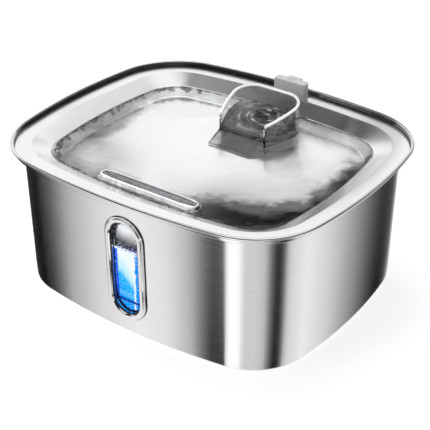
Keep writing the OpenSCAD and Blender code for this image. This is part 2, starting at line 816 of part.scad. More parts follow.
// Ring on the inlet boss, with two windows and a tab to turn it by
module flow_regulator() {
    mid_y = (boss_front_y + shell_t + volute_front_y) / 2;
    color("whitesmoke") difference() {
        union() {
            on_axis(boss_r + dial_wall, mid_y - dial_t / 2, mid_y + dial_t / 2);
            translate([spout_x - dial_tab_w / 2, mid_y - dial_t / 2, axis_z + boss_r + run_gap])
                cube([dial_tab_w, dial_t, dial_wall + dial_tab_reach]);
        }
        on_axis(boss_r + run_gap, mid_y - dial_t, mid_y + dial_t);
        for (s = [0, 180]) translate([spout_x, mid_y, axis_z]) rotate([0, s, 0])
            translate([0, -dial_t / 4, -boss_r / 4]) cube([boss_r + dial_wall + over, dial_t / 2, boss_r / 2]);
    }
}

module riser_tube() {
    color("lightgray") translate([spout_x, riser_y, riser_foot_z]) difference() {
        cylinder(r = riser_bore_r + riser_wall, h = riser_top_z - riser_foot_z);
        translate([0, 0, -over]) cylinder(r = riser_bore_r, h = riser_top_z - riser_foot_z + 2 * over);
    }
}

module led_board() {
    color("darkgreen") translate([spout_x, led_y, pump_top_z])
        block(led_w - 2 * shell_t, led_d - 2 * shell_t, board_t);
}

module led_lamps() {
    color("deepskyblue") for (sx = lug_shares) for (sy = lug_shares)
        translate([spout_x + sx * led_w / 4, led_y + sy * led_d / 5, pump_top_z + board_t])
            cylinder(r = lamp_r, h = lamp_h);
}

module led_lens() {
    color("lightskyblue") translate([spout_x, led_y, pump_top_z]) difference() {
        block(led_w, led_d, lens_h);
        translate([0, 0, -over]) block(led_w - 3 * shell_t / 2, led_d - 3 * shell_t / 2, lens_h - shell_t / 2 + over);
    }
}

module cable_gland() {
    color("black") translate([gland_x, gland_y, pump_top_z]) difference() {
        union() {
            cylinder(r = gland_r, h = gland_h / 3);
            cylinder(r = gland_r - shell_t / 2, h = gland_h);
        }
        translate([0, 0, -over]) cylinder(r = cord_r, h = gland_h + 2 * over);
    }
}

module filter_case() {
    color("whitesmoke") difference() {
        pump_box(case_w, case_y, case_back_y, case_z, case_z + case_h);
        pump_box(case_w - 2 * shell_t, case_y - over, case_back_y - shell_t, case_z + shell_t, case_z + case_h - shell_t);
        on_axis(boss_r + gap, case_back_y - shell_t - over, case_back_y + over);
    }
}

// Open frame of the cartridge, barred at both faces, with a pull tab in front
module filter_frame() {
    z0 = case_z + shell_t + frame_gap;
    color("white") difference() {
        union() {
            pump_box(frame_w, frame_front_y, frame_back_y, z0, z0 + frame_h);
            pump_box(tab_w, frame_front_y - tab_l, frame_front_y + frame_wall / 2,
                z0 + frame_h / 2 - tab_t / 2, z0 + frame_h / 2 + tab_t / 2);
        }
        pump_box(frame_w - 2 * frame_wall, frame_front_y + frame_wall, frame_back_y - frame_wall,
            z0 + frame_wall, z0 + frame_h - frame_wall);
        for (sx = [-1, 0, 1]) for (sz = lug_shares)
            translate([spout_x + sx * (pane_w + bar_t), frame_front_y - over, z0 + frame_h / 2 + sz * (pane_h + bar_t) / 2])
                translate([-pane_w / 2, 0, -pane_h / 2]) cube([pane_w, frame_back_y - frame_front_y + 2 * over, pane_h]);
    }
}

module filter_pad(y0, t) {
    z0 = case_z + shell_t + frame_gap + frame_wall + gap;
    pump_box(pad_w, y0, y0 + t, z0, z0 + pad_h);
}

module filter_carbon() {
    color("black") filter_pad(carbon_y, carbon_t);
}

module filter_sponge() {
    color("royalblue") filter_pad(sponge_y, sponge_t);
}

tank_shell();
window_bezel();
window_gasket();
window_lens();
window_retainer();
window_screws();
tank_feet();
drinking_tray();
spout();
spout_seal();
drain_insert();
drain_strainer();
cable_clip();
clip_grommet();
pump_housing();
housing_cover();
cover_screws();
suction_cups();
stator_core();
stator_coil();
impeller();
rotor_magnet();
impeller_shaft();
shaft_bushes();
volute_cover();
volute_screws();
flow_regulator();
riser_tube();
led_board();
led_lamps();
led_lens();
cable_gland();
filter_case();
filter_frame();
filter_carbon();
filter_sponge();
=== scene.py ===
import math
import bpy
import bmesh
from mathutils import Matrix, Vector, noise


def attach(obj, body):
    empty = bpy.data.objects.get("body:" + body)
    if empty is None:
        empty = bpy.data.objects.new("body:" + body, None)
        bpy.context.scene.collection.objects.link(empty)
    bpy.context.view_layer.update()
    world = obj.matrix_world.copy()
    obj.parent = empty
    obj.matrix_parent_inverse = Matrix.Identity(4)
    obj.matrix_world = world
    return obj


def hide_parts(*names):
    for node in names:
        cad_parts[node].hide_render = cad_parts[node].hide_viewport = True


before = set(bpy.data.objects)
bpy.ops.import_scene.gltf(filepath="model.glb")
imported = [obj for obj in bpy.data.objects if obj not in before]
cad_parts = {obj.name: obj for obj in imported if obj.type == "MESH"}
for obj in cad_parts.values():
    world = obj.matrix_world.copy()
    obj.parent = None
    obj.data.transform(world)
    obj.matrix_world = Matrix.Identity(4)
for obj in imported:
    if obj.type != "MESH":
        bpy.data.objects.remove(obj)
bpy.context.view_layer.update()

# The fountain's lengths are in millimetres, and a piece is brought to metres when it is finished.
# The studio's floor, lamps and screen are in metres.
MM = 0.001

# Sizes and places on the fountain, as in its CAD model
HALF_W, HALF_D = 140, 118.1
FRONT_R, SIDE_R, CORNER_R = 586, 430, 54.6
TAPER = 2.1
BASE_Z, BASE_R, SHEET = 1.2, 4, 0.8
STEP_Z = 123.5
UNDER_Z = STEP_Z - SHEET
LIP_OUT, LIP_IN = 8.4, 7.6
BEAD_C, BEAD_Z, BEAD_R = 9.255, 127.6, 1.5
MIDDLE_X = 2.5
WINDOW_Z, WINDOW_W, WINDOW_H = 63, 27.4, 83.4
LEDGE_Z, LEDGE_IN = 124.5, 6.9
TRAY_OUT = 7.0
BASIN_Z = 105
BASIN_EDGE, WALL_TOP_Z, SLOPE_TOP_Z = 22, 117, 125
WATER_Z = 116.8
TRAY_SHEET = 0.7
RISER_Y, NIPPLE_R, NIPPLE_BORE_R = 64, 7.3, 5.6
DRAIN_Y, DRAIN_HALF_D, DRAIN_HALF_W, DRAIN_POINTS = -83.4, 5.7, 47.4, 96
CLIP_Y, CLIP_BORE_R = 115.88, 3.6
# Half widths of the patch of wall round the window and of the notch in the tray's ledge
PATCH_HALF, NOTCH_HALF = 21.5, 16.6


# Plan of the tank: four bulged sides joined by tangent corners

FRONT_C = HALF_D - FRONT_R
SIDE_C = HALF_W - SIDE_R


def corner_place():
    """Middle of the right back corner's arc, and the angles where it meets the sides."""
    way = Vector((SIDE_C, -FRONT_C))
    a, b, d = FRONT_R - CORNER_R, SIDE_R - CORNER_R, way.length
    along = (a * a - b * b + d * d) / (2 * d)
    aside = math.sqrt(a * a - along * along)
    middle = Vector((0, FRONT_C)) + along * way / d + aside * Vector((way.y, -way.x)) / d
    side_end = math.atan2(middle.y, middle.x - SIDE_C)
    front_end = math.atan2(middle.y - FRONT_C, middle.x)
    return middle, side_end, front_end


CORNER, SIDE_END, FRONT_END = corner_place()
SIDE_STEPS, CORNER_STEPS, FRONT_STEPS = 20, 28, 32


def spread(start, end, count, marks=()):
    """Evenly spaced angles, the nearest ones moved onto the marks."""
    angles = [start + (end - start) * i / count for i in range(count)]
    for mark in marks:
        nearest = min(range(1, count), key=lambda i: abs(angles[i] - mark))
        angles[nearest] = mark
    return angles


def plan_stations():
    """Middle, radius and angle of each point round the plan, from the right side on."""
    pi = math.pi
    front_marks, back_marks = (
        [math.asin((MIDDLE_X + x) / FRONT_R) for x in (-half, half)] for half in (PATCH_HALF, NOTCH_HALF))
    front_marks = [1.5 * pi + mark for mark in front_marks]
    back_marks = [0.5 * pi - mark for mark in back_marks]
    cx, cy = CORNER
    arcs = [
        ((SIDE_C, 0), SIDE_R, -SIDE_END, SIDE_END, SIDE_STEPS, ()),
        ((cx, cy), CORNER_R, SIDE_END, FRONT_END, CORNER_STEPS, ()),
        ((0, FRONT_C), FRONT_R, FRONT_END, pi - FRONT_END, FRONT_STEPS, back_marks),
        ((-cx, cy), CORNER_R, pi - FRONT_END, pi - SIDE_END, CORNER_STEPS, ()),
        ((-SIDE_C, 0), SIDE_R, pi - SIDE_END, pi + SIDE_END, SIDE_STEPS, ()),
        ((-cx, -cy), CORNER_R, pi + SIDE_END, pi + FRONT_END, CORNER_STEPS, ()),
        ((0, -FRONT_C), FRONT_R, pi + FRONT_END, 2 * pi - FRONT_END, FRONT_STEPS, front_marks),
        ((cx, -cy), CORNER_R, 2 * pi - FRONT_END, 2 * pi - SIDE_END, CORNER_STEPS, ()),
    ]
    return [
        (Vector(c), r, a)
        for c, r, start, end, count, marks in arcs
        for a in spread(start, end, count, marks)
    ]


STATIONS = plan_stations()


def on_plan(i, off, z):
    """A point of the plan, moved out by an offset, at a height."""
    c, r, a = STATIONS[i]
    return Vector((c.x + (r + off) * math.cos(a), c.y + (r + off) * math.sin(a), z))


# Building tools


def arc_points(cx, cz, r, start, end, count):
    """Points of an arc in a profile, with its angles in degrees."""
    turn = [math.radians(start + (end - start) * i / count) for i in range(count + 1)]
    return [(cx + r * math.cos(t), cz + r * math.sin(t)) for t in turn]


def rounded(path, radii, count=5):
    """A profile with its inner corners rounded, each by its own radius."""
    out = [path[0]]
    for k in range(1, len(path) - 1):
        p, a, b = Vector(path[k]), Vector(path[k - 1]), Vector(path[k + 1])
        r = radii[k - 1]
        if not r:
            out.append(tuple(p))
            continue
        u, v = (a - p).normalized(), (b - p).normalized()
        half = u.angle(v) / 2
        cut = min(r / math.tan(half), 0.49 * (a - p).length, 0.49 * (b - p).length)
        start, end = p + u * cut, p + v * cut
        for i in range(count + 1):
            t = i / count
            out.append(tuple((1 - t) ** 2 * start + 2 * t * (1 - t) * p + t * t * end))
    out.append(path[-1])
    return out


def sweep(bm, count, place, profile, closed=False):
    """Lays a ring of points at each step of a profile and joins the rings with faces."""
    station = bm.verts.layers.int.get("station") or bm.verts.layers.int.new("station")
    ring = bmesh.ops.create_circle(bm, segments=count, radius=1)["verts"]
    for i, v in enumerate(ring):
        v[station] = i
        v.co = place(i, *profile[0])
    first = edges = loop_edges(ring)
    rings = [ring]
    for step in profile[1:]:
        out = bmesh.ops.extrude_edge_only(bm, edges=edges)["geom"]
        ring = sorted(new_points(out), key=lambda v: v[station])
        for v in ring:
            v.co = place(v[station], *step)
        edges = loop_edges(ring)
        rings.append(ring)
    if closed:
        bmesh.ops.bridge_loops(bm, edges=first + edges)
    return rings


def loop_edges(ring):
    """Edges that lie wholly in a ring of points."""
    inside = set(ring)
    return list({e for v in ring for e in v.link_edges if e.other_vert(v) in inside})


def cap(bm, *rings):
    """Fills a flat loop, leaving open the holes that the other loops make."""
    edges = [e for ring in rings for e in loop_edges(ring)]
    bmesh.ops.triangle_fill(bm, edges=edges, use_beauty=True, use_dissolve=False)


def close_ends(bm, rings):
    """Fills the first and the last ring of a sweep."""
    cap(bm, rings[0])
    cap(bm, rings[-1])


def new_points(geom):
    """The points among what an operator made."""
    return [g for g in geom if isinstance(g, bmesh.types.BMVert)]


def thicken(bm, by):
    """Extrudes the whole bmesh, which is one flat piece, by a vector."""
    made = bmesh.ops.extrude_face_region(bm, geom=bm.faces[:])["geom"]
    bmesh.ops.translate(bm, vec=by, verts=new_points(made))


def link_mesh(name, bm, *materials):
    """An object in the scene with the mesh that a bmesh holds."""
    mesh = bpy.data.meshes.new(name)
    bm.to_mesh(mesh)
    bm.free()
    for material in materials:
        mesh.materials.append(material)
    piece = bpy.data.objects.new(name, mesh)
    bpy.context.scene.collection.objects.link(piece)
    return piece


def plain_object(name, bm):
    """An object in millimetres that is joined with others before it is finished."""
    bmesh.ops.recalc_face_normals(bm, faces=bm.faces)
    return link_mesh(name, bm)


def finish_piece(name, bm, body, material, nodes=(), sharp=35):
    """Turns a bmesh in millimetres into a finished piece that rides on its body."""
    bmesh.ops.remove_doubles(bm, verts=bm.verts, dist=0.001)
    bmesh.ops.recalc_face_normals(bm, faces=bm.faces)
    bmesh.ops.scale(bm, vec=(MM, MM, MM), verts=bm.verts)
    piece = link_mesh(name, bm, material)
    piece.data.shade_smooth()
    piece.data.set_sharp_from_angle(angle=math.radians(sharp))
    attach(piece, body)
    if nodes:
        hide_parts(*nodes)
    return piece


# Materials

STEEL_TONE = 0.86


def triple(value):
    """Three numbers as they are, or one number three times."""
    return (value,) * 3 if isinstance(value, (int, float)) else value


class Shader:
    """A node material with short calls for its parts."""

    def __init__(self, name, **values):
        self.material = bpy.data.materials.new(name)
        self.material.use_nodes = True
        self.tree = self.material.node_tree
        self.surface = self.tree.nodes["Principled BSDF"]
        for socket, value in values.items():
            self.surface.inputs[socket.replace("_", " ")].default_value = value

    def node(self, kind, inputs=(), **settings):
        """A node, with its inputs linked or set."""
        made = self.tree.nodes.new("ShaderNode" + kind)
        for key, value in settings.items():
            setattr(made, key, value)
        for key, value in dict(inputs).items():
            if isinstance(value, bpy.types.NodeSocket):
                self.tree.links.new(value, made.inputs[key])
            else:
                made.inputs[key].default_value = value
        return made

    def coords(self, scale=1, shift=0):
        """The piece's own coordinates, scaled and then moved."""
        place = self.node("TexCoord").outputs["Object"]
        moved = self.node("Mapping", {"Vector": place, "Scale": triple(scale), "Location": triple(shift)})
        return moved.outputs["Vector"]

    def place(self, scale=1, shift=0):
        """The same coordinates as separate X, Y and Z."""
        return self.node("SeparateXYZ", {0: self.coords(scale, shift)}).outputs

    def noise(self, vector, scale, detail=3, rough=0.5):
        """Smooth noise between 0 and 1."""
        made = self.node("TexNoise", {"Vector": vector, "Scale": scale, "Detail": detail, "Roughness": rough})
        return made.outputs["Fac"]

    def span(self, value, low, high, start=0.0, end=1.0):
        """A value between start and end, laid between low and high."""
        made = self.node("MapRange", {"Value": value, "From Min": start, "From Max": end,
                                      "To Min": low, "To Max": high})
        return made.outputs["Result"]

    def math(self, operation, a, b=0.0):
        """A calculation with one or two values."""
        return self.node("Math", {0: a, 1: b}, operation=operation).outputs[0]

    def ramp(self, value, *stops):
        """A colour for a value between 0 and 1."""
        made = self.node("ValToRGB", {"Fac": value})
        spots = made.color_ramp.elements
        while len(spots) < len(stops):
            spots.new(0.5)
        for spot, (place, colour) in zip(spots, stops):
            spot.position = place
            spot.color = (*triple(colour), 1)
        return made.outputs["Color"]

    def mix(self, fac, a, b, blend="MIX"):
        """A share of the second colour over the first."""
        made = self.node("Mix", {0: fac}, data_type="RGBA", blend_type=blend)
        for key, value in ((6, a), (7, b)):
            if isinstance(value, bpy.types.NodeSocket):
                self.tree.links.new(value, made.inputs[key])
            else:
                made.inputs[key].default_value = (*triple(value), 1)
        return made.outputs[2]

    def times(self, a, b):
        """Two colours multiplied."""
        return self.mix(1.0, a, b, "MULTIPLY")

    def bump(self, height, strength, distance):
        """Raises the surface by a height."""
        made = self.node("Bump", {"Height": height, "Strength": strength, "Distance": distance})
        self.to("Normal", made.outputs["Normal"])

    def to(self, socket, value):
        """Links a value to the surface."""
        self.tree.links.new(value, self.surface.inputs[socket])


def brushed_steel(name, grain, tone, low=0.14, high=0.22, sideways=True):
    """Stainless sheet with fine brush lines along one direction."""
    s = Shader(name, Metallic=1.0, Anisotropic=0.75 if sideways else 0.0, Anisotropic_Rotation=0.25)
    lines = s.noise(s.coords(grain), 1.0, 4, 0.6)
    clouds = s.noise(s.coords(14), 1.0, 2)
    shade = s.ramp(lines, (0.3, tone * 0.93), (0.7, (tone, tone, tone * 1.01)))
    s.to("Base Color", s.mix(s.span(clouds, 0, 0.25), shade, (tone * 0.9, tone * 0.9, tone * 0.92)))
    s.to("Roughness", s.span(lines, low, high, 0.3, 0.7))
    s.bump(lines, 0.08, 0.00002)
    if sideways:
        s.to("Tangent", s.node("Tangent", direction_type="RADIAL", axis="Z").outputs["Tangent"])
    return s


def paint_basin_glow_and_shade(s):
    """Paints light on the basin's wall as a glow, less of it at the right, and paints shade on the slope
    there.
    """
    place = s.place()
    way = s.span(s.math("ARCTAN2", place["Y"], place["X"]), 0, 1, -math.pi, math.pi)
    # Painted light: the basin's wall under the water glows, less at the right.
    lit = s.ramp(way, (0.27, 1), (0.32, 0.12), (0.57, 0.12), (0.62, 1))
    up = s.span(place["Z"], 0, 1, (BASIN_Z + 0.1) * MM, WALL_TOP_Z * MM)
    patches = s.noise(s.coords((60, 60, 120)), 1.0, 3)
    light = s.ramp(up, (0.02, 0), (0.07, (0.45, 0.46, 0.47)), (0.25, (0.6, 0.61, 0.62)),
                   (0.8, (0.5, 0.51, 0.52)), (0.97, 0.1), (1.0, 0))
    s.to("Emission Color", s.times(s.times(light, lit), s.ramp(patches, (0.3, 0.6), (0.7, 1))))
    s.surface.inputs["Emission Strength"].default_value = 1.0
    # Painted shade: the slope at the back right of the spout is darkened over the steel's colour.
    steel = s.surface.inputs["Base Color"].links[0].from_socket
    aside = s.ramp(way, (0.62, 0), (0.65, 1), (0.74, 1), (0.8, 0.4), (0.87, 0))
    rise = s.span(place["Z"], 0, 1, (WALL_TOP_Z - 0.5) * MM, SLOPE_TOP_Z * MM)
    slope = s.ramp(rise, (0.05, 0), (0.1, 1), (0.85, 1), (0.97, 0))
    s.to("Base Color", s.mix(s.math("MULTIPLY", aside, slope), steel, (0.36, 0.36, 0.37)))
    return s


def polished_steel(name):
    """Polished sheet edge with faint handling marks."""
    s = Shader(name, Metallic=1.0)
    marks = s.noise(s.coords(160), 1.0, 5)
    s.to("Base Color", s.ramp(marks, (0.3, 0.77), (0.7, 0.82)))
    s.to("Roughness", s.span(marks, 0.04, 0.12, 0.3, 0.7))
    return s.material


def moulded(name, colour, low=0.35, high=0.5, grain=900, depth=0.00004):
    """Moulded plastic or rubber with a fine grain and slight cloudiness."""
    s = Shader(name)
    clouds = s.noise(s.coords(40), 1.0, 3)
    fine = s.noise(s.coords(grain), 1.0, 2)
    dark = tuple(c * 0.88 for c in colour)
    s.to("Base Color", s.ramp(clouds, (0.3, dark), (0.7, colour)))
    s.to("Roughness", s.span(fine, low, high, 0.3, 0.7))
    s.bump(fine, 0.3, depth)
    return s.material


def clear_plastic(name, tint, ior=1.46):
    """Clear moulding with faint flow lines and a light grey tint in its thickness."""
    s = Shader(name, IOR=ior, Transmission_Weight=1.0)
    flow = s.noise(s.coords((60, 60, 25)), 1.0, 3)
    s.to("Base Color", s.ramp(flow, (0.3, tuple(c * 0.95 for c in tint)), (0.7, tint)))
    s.to("Roughness", s.span(flow, 0, 0.06, 0.35, 0.75))
    s.bump(flow, 0.12, 0.0006)
    return s.material


def spout_look(name):
    """Clear cup: almost colourless over the water, tinted grey below its level as painted shade."""
    s = Shader(name, IOR=1.2, Transmission_Weight=1.0)
    up = s.span(s.place()["Z"], 0, 1, WALL_TOP_Z * MM, SLOPE_TOP_Z * MM)
    flow = s.noise(s.coords((70, 70, 160)), 1.0, 3)
    # Painted shade: the cup is tinted grey below the water's level.
    low = s.ramp(flow, (0.35, (0.34, 0.345, 0.35)), (0.65, (0.56, 0.565, 0.57)))
    high = s.ramp(flow, (0.35, (0.74, 0.75, 0.76)), (0.65, (0.92, 0.925, 0.93)))
    s.to("Base Color", s.mix(up, low, high))
    s.to("Roughness", s.span(flow, 0, 0.06, 0.35, 0.75))
    s.bump(flow, 0.15, 0.0008)
    return s.material


def rim_glow_look(name):
    """Thick rounded edge of a clear moulding, whose even glow is a painted highlight."""
    s = Shader(name, Roughness=0.12, Coat_Weight=1.0, IOR=1.46, Emission_Color=(1, 1, 1, 1),
               Emission_Strength=0.3)
    s.to("Base Color", s.ramp(s.noise(s.coords(300), 1.0, 2), (0.3, 0.88), (0.7, 0.97)))
    return s.material


def drain_look(name):
    """Clear collar: grey and glossy at its back, pale and blurred at its front, where water runs down."""
    s = Shader(name, IOR=1.3, Transmission_Weight=1.0)
    back = s.span(s.place()["Y"], 0, 1, (DRAIN_Y - 4) * MM, (DRAIN_Y - 1) * MM)
    runs = s.noise(s.coords((260, 260, 60)), 1.0, 3)
    pale = s.ramp(runs, (0.35, (0.5, 0.5, 0.52)), (0.65, (0.85, 0.85, 0.86)))
    s.to("Base Color", s.mix(back, pale, (0.42, 0.42, 0.44)))
    s.to("Roughness", s.mix(back, 0.6, 0.06))
    # Painted light: the water's runs on the collar's front glow.
    s.to("Emission Color", s.mix(back, s.ramp(runs, (0.35, 0.1), (0.65, (0.4, 0.4, 0.41))), 0))
    s.surface.inputs["Emission Strength"].default_value = 1.0
    s.bump(runs, 0.2, 0.0006)
    return s.material


# The basin's plan as a rounded square that is stretched sideways, and how square it is
REACH_W, REACH_D, SQUARENESS = 122.5, 99, 4.5


def reach(x, y):
    """How far out a place in the basin lies: 0 in its middle, 0.96 at the water's edge."""
    return ((abs(x) / REACH_W) ** SQUARENESS + (abs(y) / REACH_D) ** SQUARENESS) ** (1 / SQUARENESS)


# Where painted shade darkens the water towards the shore, by direction in degrees: how far out that is, how
# much light stays, and how far out the water's edge lies
SHORE_SHADE = [
    (-180, 0.78, 0.5, 0.95), (-165, 0.76, 0.35, 0.95), (-150, 0.88, 0.5, 0.935), (-135, 0.74, 0.55, 0.925),
    (-120, 0.7, 0.55, 0.94), (-105, 0.72, 0.25, 0.95), (-90, 0.76, 0.25, 0.95), (-75, 0.72, 0.3, 0.95),
    (-62, 0.6, 0.25, 0.95), (-48, 0.58, 0.13, 0.95), (-38, 0.66, 0.08, 0.95), (-30, 0.72, 0.07, 0.95),
    (-15, 0.81, 0.08, 0.95), (0, 0.82, 0.15, 0.95), (15, 0.81, 0.1, 0.95), (30, 0.81, 0.1, 0.95),
    (45, 0.97, 1, 0.99), (60, 0.84, 0.5, 0.95), (90, 0.84, 0.5, 0.95), (110, 0.93, 1, 0.95),
    (135, 0.93, 1, 0.95), (150, 0.86, 0.45, 0.95), (165, 0.8, 0.5, 0.95), (180, 0.78, 0.5, 0.95),
]


def basin_water_look(name):
    """Clear water, soft and in painted shade near the shore, with a ragged painted dark line at its edge."""
    s = Shader(name, IOR=1.1, Transmission_Weight=1.0, Coat_Weight=1.0, Coat_Roughness=0.0, Coat_IOR=1.33)
    place = s.place((1 / (REACH_W * MM), 1 / (REACH_D * MM), 1))
    parts = [s.math("POWER", s.math("ABSOLUTE", place[axis]), SQUARENESS) for axis in ("X", "Y")]
    out = s.math("POWER", s.math("ADD", *parts), 1 / SQUARENESS)
    way = s.span(s.math("ARCTAN2", place["Y"], place["X"]), 0, 1, -math.pi, math.pi)
    stops = ((0.5 + turn / 360, shade) for turn, *shade in SHORE_SHADE)
    shade = s.node("SeparateColor", {0: s.ramp(way, *stops)}).outputs
    ragged = s.noise(s.coords(150), 1.0, 3)
    rough = s.noise(s.coords(45), 1.0, 4, 0.6)
    edge = s.math("SUBTRACT", s.math("ADD", out, s.span(ragged, -0.025, 0.025, 0.3, 0.7)), shade["Blue"])
    soft = s.math("SUBTRACT", s.math("ADD", out, s.span(rough, -0.06, 0.06, 0.3, 0.7)), shade["Red"])
    clear = s.node("CombineColor", {0: shade["Green"], 1: shade["Green"], 2: shade["Green"]}).outputs[0]
    body = s.mix(s.span(soft, 0, 1, 0, 0.08), 1, clear)
    # Painted shade: a ragged dark line at the water's edge.
    line = s.ramp(s.span(edge, 0, 1, -0.01, 0.04), (0.1, 1), (0.3, 0.04), (0.65, 0.04), (0.8, 0.8))
    s.to("Base Color", s.times(s.mix(s.span(edge, 0, 1, 0.005, 0.01), body, 1), line))
    s.to("Roughness", s.span(out, 0.03, 0.3, 0.86, 0.93))
    s.bump(s.noise(s.coords(30), 1.0, 3, 0.45), 0.5, 0.002)
    return s.material


# Camera, floor and light

PHOTO_SIDE = 430
EYE = Vector((494.56, -682.36, 552.86)) * MM
TARGET = Vector((0, 0, 60)) * MM
camera_data = bpy.data.cameras.new("camera")
camera_data.sensor_width = 36
camera_data.lens = 96.61
camera_data.shift_x = 0.00672
camera_data.shift_y = -0.01264
camera = bpy.data.objects.new("camera", camera_data)
camera.location = EYE
camera.rotation_euler = (TARGET - EYE).to_track_quat("-Z", "Y").to_euler()
bpy.context.scene.collection.objects.link(camera)
bpy.context.scene.camera = camera
bpy.context.scene.view_settings.view_transform = "Standard"


def stage_plane(name, corners, material):
    """A flat stage piece from its four corners, in metres."""
    bm = bmesh.new()
    made = bmesh.ops.create_grid(bm, x_segments=1, y_segments=1, size=1)["verts"]
    for v in made:
        u, w = (v.co.x + 1) / 2, (v.co.y + 1) / 2
        a = Vector(corners[0]).lerp(Vector(corners[1]), u)
        b = Vector(corners[3]).lerp(Vector(corners[2]), u)
        v.co = a.lerp(b, w)
    link_mesh(name, bm, material)


floor_shader = Shader("pale_floor", Base_Color=(0.45, 0.45, 0.45, 1), Roughness=0.9, Specular_IOR_Level=0.0,
                      Emission_Color=(1, 1, 1, 1), Emission_Strength=0.74)
stage_plane("floor", [(-4, -4, 0), (4, -4, 0), (4, 4, 0), (-4, 4, 0)], floor_shader.material)

world = bpy.data.worlds.new("studio")
bpy.context.scene.world = world
world.use_nodes = True
sky_nodes, sky_links = world.node_tree.nodes, world.node_tree.links


def either(first, second):
    """One when either of two kinds of ray looks at the studio."""
    made = sky_nodes.new("ShaderNodeMath")
    made.operation = "MAXIMUM"
    sky_links.new(first, made.inputs[0])
    sky_links.new(second, made.inputs[1])
    return made.outputs[0]


# The studio looks white, and gives the floor and the pieces less light than it shows
ray = sky_nodes.new("ShaderNodeLightPath").outputs
level = sky_nodes.new("ShaderNodeMapRange")
level.inputs["To Min"].default_value = 0.45
level.inputs["To Max"].default_value = 1.0
seen = either(ray["Is Camera Ray"], either(ray["Is Glossy Ray"], ray["Is Transmission Ray"]))
sky_links.new(seen, level.inputs["Value"])
sky_links.new(level.outputs[0], sky_nodes["Background"].inputs["Strength"])
sky_nodes["Background"].inputs["Color"].default_value = (1, 1, 1, 1)


def soft_lamp(name, place, aim, size, power):
    """A square soft lamp that faces a point."""
    lamp = bpy.data.lights.new(name, "AREA")
    lamp.shape = "RECTANGLE"
    lamp.size, lamp.size_y = size
    lamp.energy = power
    holder = bpy.data.objects.new(name, lamp)
    holder.location = place
    holder.rotation_euler = (Vector(aim) - Vector(place)).to_track_quat("-Z", "Y").to_euler()
    holder.visible_glossy = holder.visible_transmission = False
    bpy.context.scene.collection.objects.link(holder)


# How light the floor looks that each stretch of the wall mirrors, by the way that the wall faces, in degrees
MIRRORED = [
    (-131, 0.24), (-108, 0.08), (-98.5, 0.22), (-96, 0.67), (-93, 0.84), (-89, 0.94), (-86, 0.89),
    (-84, 0.71), (-82.2, 0.22), (-81, 0.27), (-80.2, 0.88), (-76, 1.03), (-69, 1.03), (-64, 0.81),
    (-55, 0.81), (-48, 0.75), (-43, 0.42), (-38, 0.11), (-34, 0.24), (-29, 0.78), (-25, 0.85), (-9, 0.94),
    (-5, 0.82), (0, 0.54), (6, 0.11), (8, 0.18), (10, 0.51), (24, 0.9),
]


def mirrored_light(turn):
    """Light between the two nearest entries of the list above, as the steel has to mirror it."""
    for (a, low), (b, high) in zip(MIRRORED, MIRRORED[1:]):
        if a <= turn <= b:
            shown = low + (high - low) * (turn - a) / (b - a)
            return shown ** 2.2 / STEEL_TONE
    return 1.0


def card_shader(name, light=1.0):
    """A black card that gives off an even light."""
    return Shader(name, Base_Color=(0, 0, 0, 1), Roughness=1.0, Specular_IOR_Level=0.0,
                  Emission_Color=(1, 1, 1, 1), Emission_Strength=light)


def graded_light(name):
    """A card that gives off as much light as its points say."""
    graded = card_shader(name)
    graded.to("Emission Strength", graded.node("Attribute", attribute_name="light").outputs["Fac"])
    return graded.material


def mirrored_strip(name, height, side):
    """A graded card on the floor that only the steel mirrors, with bands that run out from the wall."""
    bm = bmesh.new()
    light = bm.verts.layers.float.new("light")
    eye = Vector((side * EYE.x, side * EYE.y, EYE.z)) / MM
    columns = []
    for i, station in enumerate(STATIONS):
        angle = station[2]
        foot = on_plan(i, -TAPER / 2, STEP_Z / 2)
        face = Vector((math.cos(angle), math.sin(angle), 0))
        sight = (foot - eye).normalized()
        if sight.dot(face) > -0.03:
            continue
        way = sight - 2 * sight.dot(face) * face
        way = Vector((way.x, way.y, 0)).normalized()
        turn = math.degrees(math.atan2(side * face.y, side * face.x))
        columns.append((turn, foot, way))
    columns.sort(key=lambda column: column[0])
    last = None
    for turn, foot, way in columns:
        pair = []
        for out in (0, 600):
            v = bm.verts.new(Vector((foot.x, foot.y, height)) + out * way)
            v[light] = mirrored_light(turn)
            pair.append(v)
        if last:
            bm.faces.new((last[0], last[1], pair[1], pair[0]))
        last = pair
    bmesh.ops.scale(bm, vec=(MM, MM, MM), verts=bm.verts)
    only_mirrored(link_mesh(name, bm, graded_light(name)))


def only_mirrored(card, through=False):
    """Makes a card show in the steel alone, or also through water and clear plastic, and nowhere else."""
    card.visible_camera = card.visible_diffuse = card.visible_shadow = False
    card.visible_transmission = through


mirrored_strip("floor_strip_front", 0.5, 1)
mirrored_strip("floor_strip_back", 0.3, -1)


def dark_screen(name, start, end, radius, low, high, shade):
    """A standing bent screen round the front of the studio that the steel mirrors, between two angles."""
    bm = bmesh.new()
    rail = bmesh.ops.create_grid(bm, x_segments=24, y_segments=1, size=0.5)["verts"]
    for v in rail:
        t = math.radians(start + (end - start) * (v.co.x + 0.5))
        v.co = Vector((radius * math.cos(t), radius * math.sin(t), low + (high - low) * (v.co.y + 0.5)))
    only_mirrored(link_mesh(name, bm, card_shader(name, shade).material))


# The water's level, where a ray goes down to the basin's floor, and how much further on it comes up again
MIRROR_Z, MIRROR_RUN = 117, 30


def over_tray(pixel, height):
    """Place at a height that a photo's pixel shows mirrored in the basin, in millimetres."""
    across = pixel[0] / PHOTO_SIDE - 0.5 + camera_data.shift_x
    up = 0.5 - pixel[1] / PHOTO_SIDE + camera_data.shift_y
    ray = Vector((across * camera_data.sensor_width, up * camera_data.sensor_width, -camera_data.lens))
    ray.rotate(camera.rotation_euler)
    foot = EYE / MM + ray * (MIRROR_Z - EYE.z / MM) / ray.z
    away = Vector((ray.x, ray.y, 0)).normalized()
    ray.z = -ray.z
    return foot + MIRROR_RUN * away + ray * (height - MIRROR_Z) / ray.z


